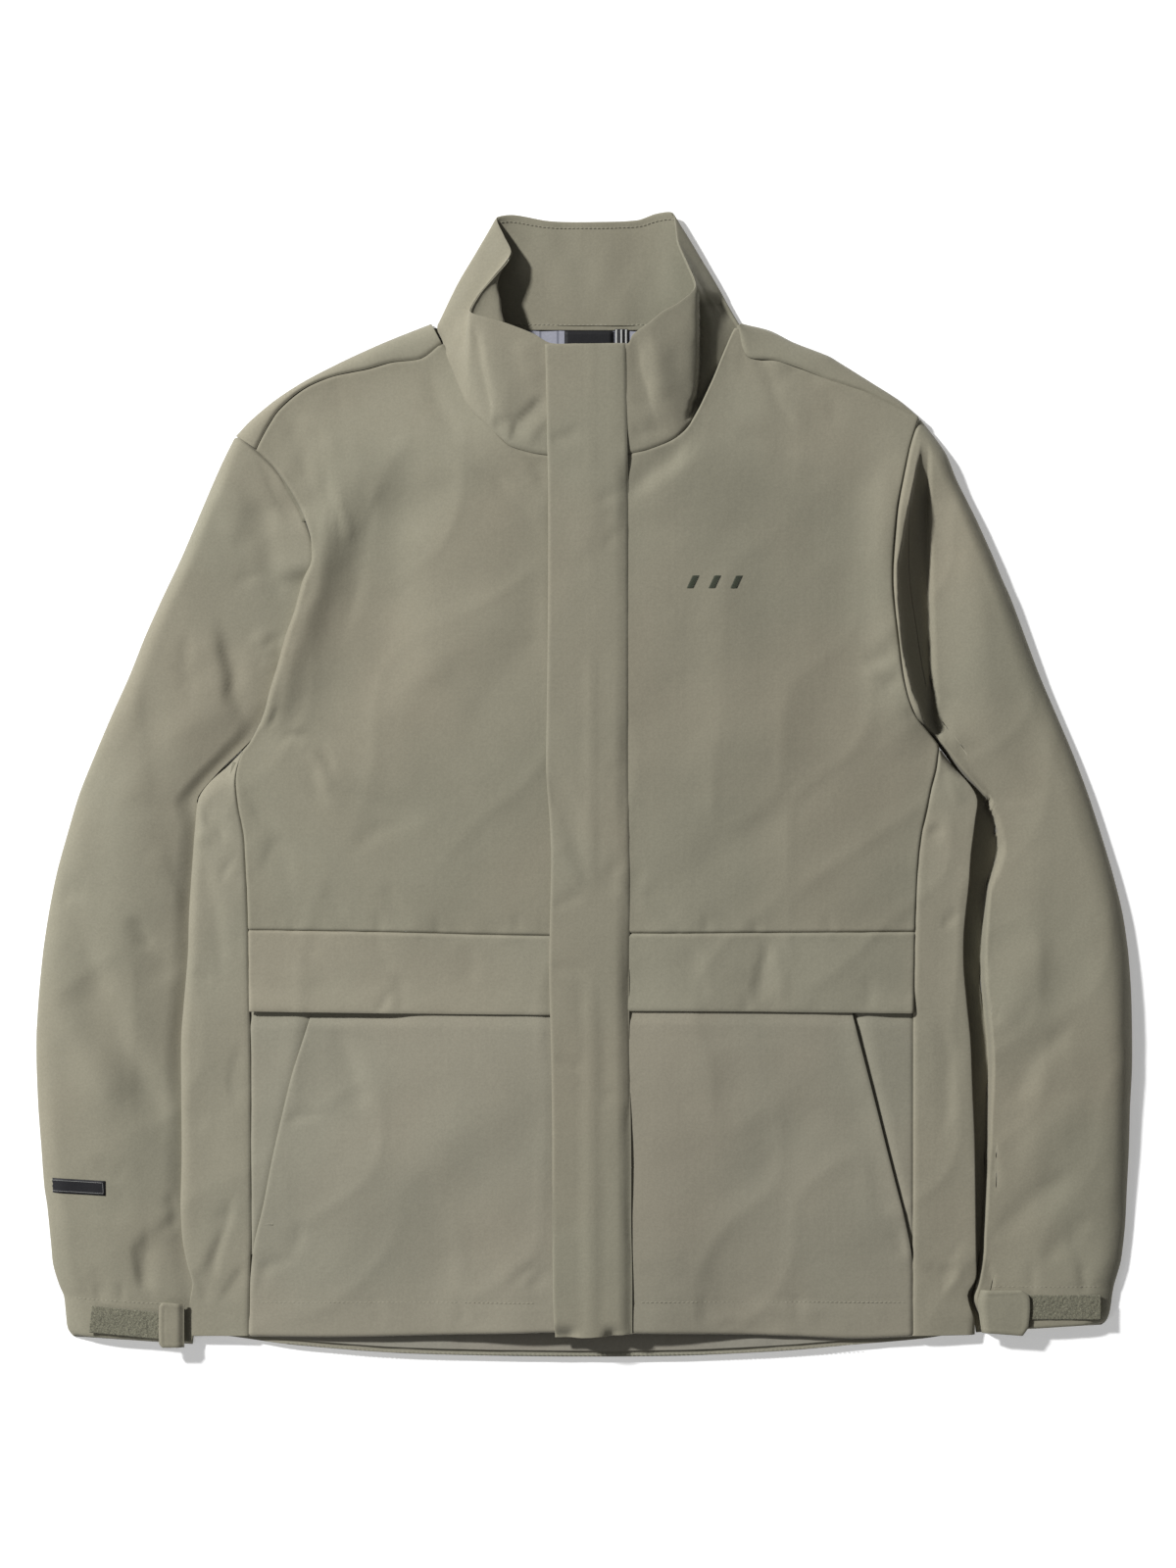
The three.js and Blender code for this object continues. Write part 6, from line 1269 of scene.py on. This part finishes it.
TAB_R, TAB_L = C['TAB_R'], C['TAB_L']
tab("cuff_tab_right_cloth", [TAB_R[0], TAB_R[5]], [TAB_R[3], TAB_R[4]], TAB_R[:4], [TAB_R[5], TAB_R[4]], "cuff_tab_right", "sleeve_right",
    (-0.2842, -0.383, 0.0143), (-0.2885, -0.383, 0.0143), False, 5, None)
tab("cuff_tab_left_cloth", [TAB_L[0], TAB_L[7]], [TAB_L[3], TAB_L[4]], TAB_L[:4], [TAB_L[7], TAB_L[6], TAB_L[5], TAB_L[4]], "cuff_tab_left", "sleeve_left",
    (0.2805, -0.374, 0.0143), (0.2850, -0.374, 0.0143), True, 6, None)

# sleeve badge: plain black, with a thin woven line
lab = C['LABEL_R']
lab_z = 16.45
u, v = np.linspace(0, 1, 24)[None, :, None], np.linspace(0, 1, 8)[:, None, None]
a, b, c, d = (arr(p) for p in lab)
g = (1 - v) * ((1 - u) * a + u * d) + v * ((1 - u) * b + u * c)
sx, sy, sz, joint_r = SLEEVES["right"]
def sleeve_height(X, Y):
    out = np.zeros(X.shape)
    for i in np.ndindex(X.shape):
        w = (sx - X[i]) ** 2 + (sy - Y[i]) ** 2
        k = np.argsort(w.ravel())[:6]
        ww = 1 / (w.ravel()[k] + 0.5)
        out[i] = (sz.ravel()[k] * ww).sum() / ww.sum()
    return out
zb = sleeve_height(g[..., 0], g[..., 1]) + 0.75
cloth("sleeve_badge_cloth", np.dstack([g[..., 0], g[..., 1], zb]), M_BADGE, body="sleeve_right", low=-0.2, high=0.2, nodes=("sleeve_badge",))
line = [tuple(a + (b - a) * 0.14 + (d - a) * 0.03), tuple(a + (b - a) * 0.86 + (d - a) * 0.03), tuple(a + (b - a) * 0.86 + (d - a) * 0.97), tuple(a + (b - a) * 0.14 + (d - a) * 0.97)]
stitches("sleeve_badge_line", [[line[i], line[(i + 1) % 4]] for i in range(4)], M_LINE, "sleeve_right", lambda p, q: sleeve_height(p, q) + 1.0, pitch=1.2, long=1.15, radius=0.12, lift=0.0)

# ------------------------------------------------------------------ stitching on the torso
top_of = lambda a, b: front_z(np.asarray(a, float), np.asarray(b, float)) + CLOTH_T / 2
for k, name in (('R', "right"), ('L', "left")):
    line = [p for p in rail(C['STITCH_HEM_' + k], 40)]
    lim = (-237, -26) if k == 'R' else (35, 232)
    line = [tuple(p) for p in line if lim[0] < p[0] < lim[1]]
    stitches(f"hem_stitching_{name}", [line], M_THREAD, "torso", lambda a, b: top_of(a, b) - 0.12, pitch=3.2, long=2.2, radius=0.27, lift=0.0)
bars = {"right": (at(267, 1247), at(281, 1247)), "left": (at(911, 1247), at(923, 1247))}
for name, (p, q) in bars.items():
    rows = [[(p[0] + i * 0.75, p[1] - 0.9), (p[0] + i * 0.75 + 0.2, p[1] + 0.9)] for i in range(int((q[0] - p[0]) / 0.75))]
    stitches(f"pocket_bar_tack_{name}", rows, M_THREAD, "torso", lambda a, b: top_of(a, b), pitch=1.8, long=1.75, radius=0.3, lift=0.15)
back_row = [at(292, 1368.5), at(376, 1376), at(446, 1379), at(620, 1380.6), at(753, 1378), at(875, 1370)]
stitches("back_hem_stitching", [back_row], M_THREAD, "torso", lambda a, b: 2.98 + hem_lift(np.asarray(a, float), np.asarray(b, float)), pitch=3.2, long=2.2, radius=0.27, lift=0.0)

# a plain chest mark in satin stitch: three short slanted bars
rows = []
for i in range(3):
    cx, cy = at(706 + i * 22, 596)
    for j in range(15):
        yy = cy - 4.2 + j * 0.6
        xx = cx + (j - 7) * 0.28
        rows.append([(xx - 2.6, yy), (xx + 2.6, yy + 0.15)])
stitches("chest_mark", rows, M_EMBROIDERY, "torso", lambda a, b: top_of(a, b), pitch=5.2, long=5.1, radius=0.34, lift=0.12)

# ------------------------------------------------------------------ floor, light, camera
me = bpy.data.meshes.new("floor")
me.from_pydata([(-3, -3, 0), (3, -3, 0), (3, 3, 0), (-3, 3, 0)], [], [(0, 1, 2, 3)])
floor = bpy.data.objects.new("floor", me)
bpy.context.scene.collection.objects.link(floor)
floor.location = (0, 0, -0.0006)
m, nt, nodes, links, bsdf = material("floor_paper")
links.new(ramp(nt, tex_noise(nt, 3.0, 2.0), 0.3, 0.7, (0.93, 0.93, 0.93, 1), (0.95, 0.95, 0.95, 1)), bsdf.inputs["Base Color"])
bsdf.inputs["Roughness"].default_value = 0.9
bsdf.inputs["Specular IOR Level"].default_value = 0.1
bsdf.inputs["Emission Color"].default_value = (1, 1, 1, 1)
bsdf.inputs["Emission Strength"].default_value = 0.3
me.materials.append(m)

def aim(o, target):
    o.rotation_euler = (Vector(target) - o.location).to_track_quat('-Z', 'Y').to_euler()
def area(name, where, size, power, colour=(1, 1, 1)):
    l = bpy.data.lights.new(name, 'AREA')
    l.shape = 'SQUARE'
    l.size = size
    l.energy = power
    l.color = colour
    o = bpy.data.objects.new(name, l)
    bpy.context.scene.collection.objects.link(o)
    o.location = where
    aim(o, (0, 0, 0.02))
    return o
area("key", (-4.64, 3.44, 4.24), 0.54, 671)
area("low_left", (-1.9, -1.5, 1.9), 0.9, 10)
world = bpy.data.worlds.new("studio")
bpy.context.scene.world = world
world.use_nodes = True
world.node_tree.nodes["Background"].inputs["Color"].default_value = (1, 1, 1, 1)
world.node_tree.nodes["Background"].inputs["Strength"].default_value = 0.12

cam = bpy.data.cameras.new("camera")
cam.sensor_fit = 'VERTICAL'
cam.sensor_height = 36
height = 2.6
cam.lens = 36 * height / 1.12
cam.clip_end = 50
camera = bpy.data.objects.new("camera", cam)
bpy.context.scene.collection.objects.link(camera)
camera.location = (0.0028, 0.0014, height)
camera.rotation_euler = (0, 0, 0)
bpy.context.scene.camera = camera
bpy.context.scene.view_settings.view_transform = 'Standard'
bpy.context.scene.view_settings.look = 'None'
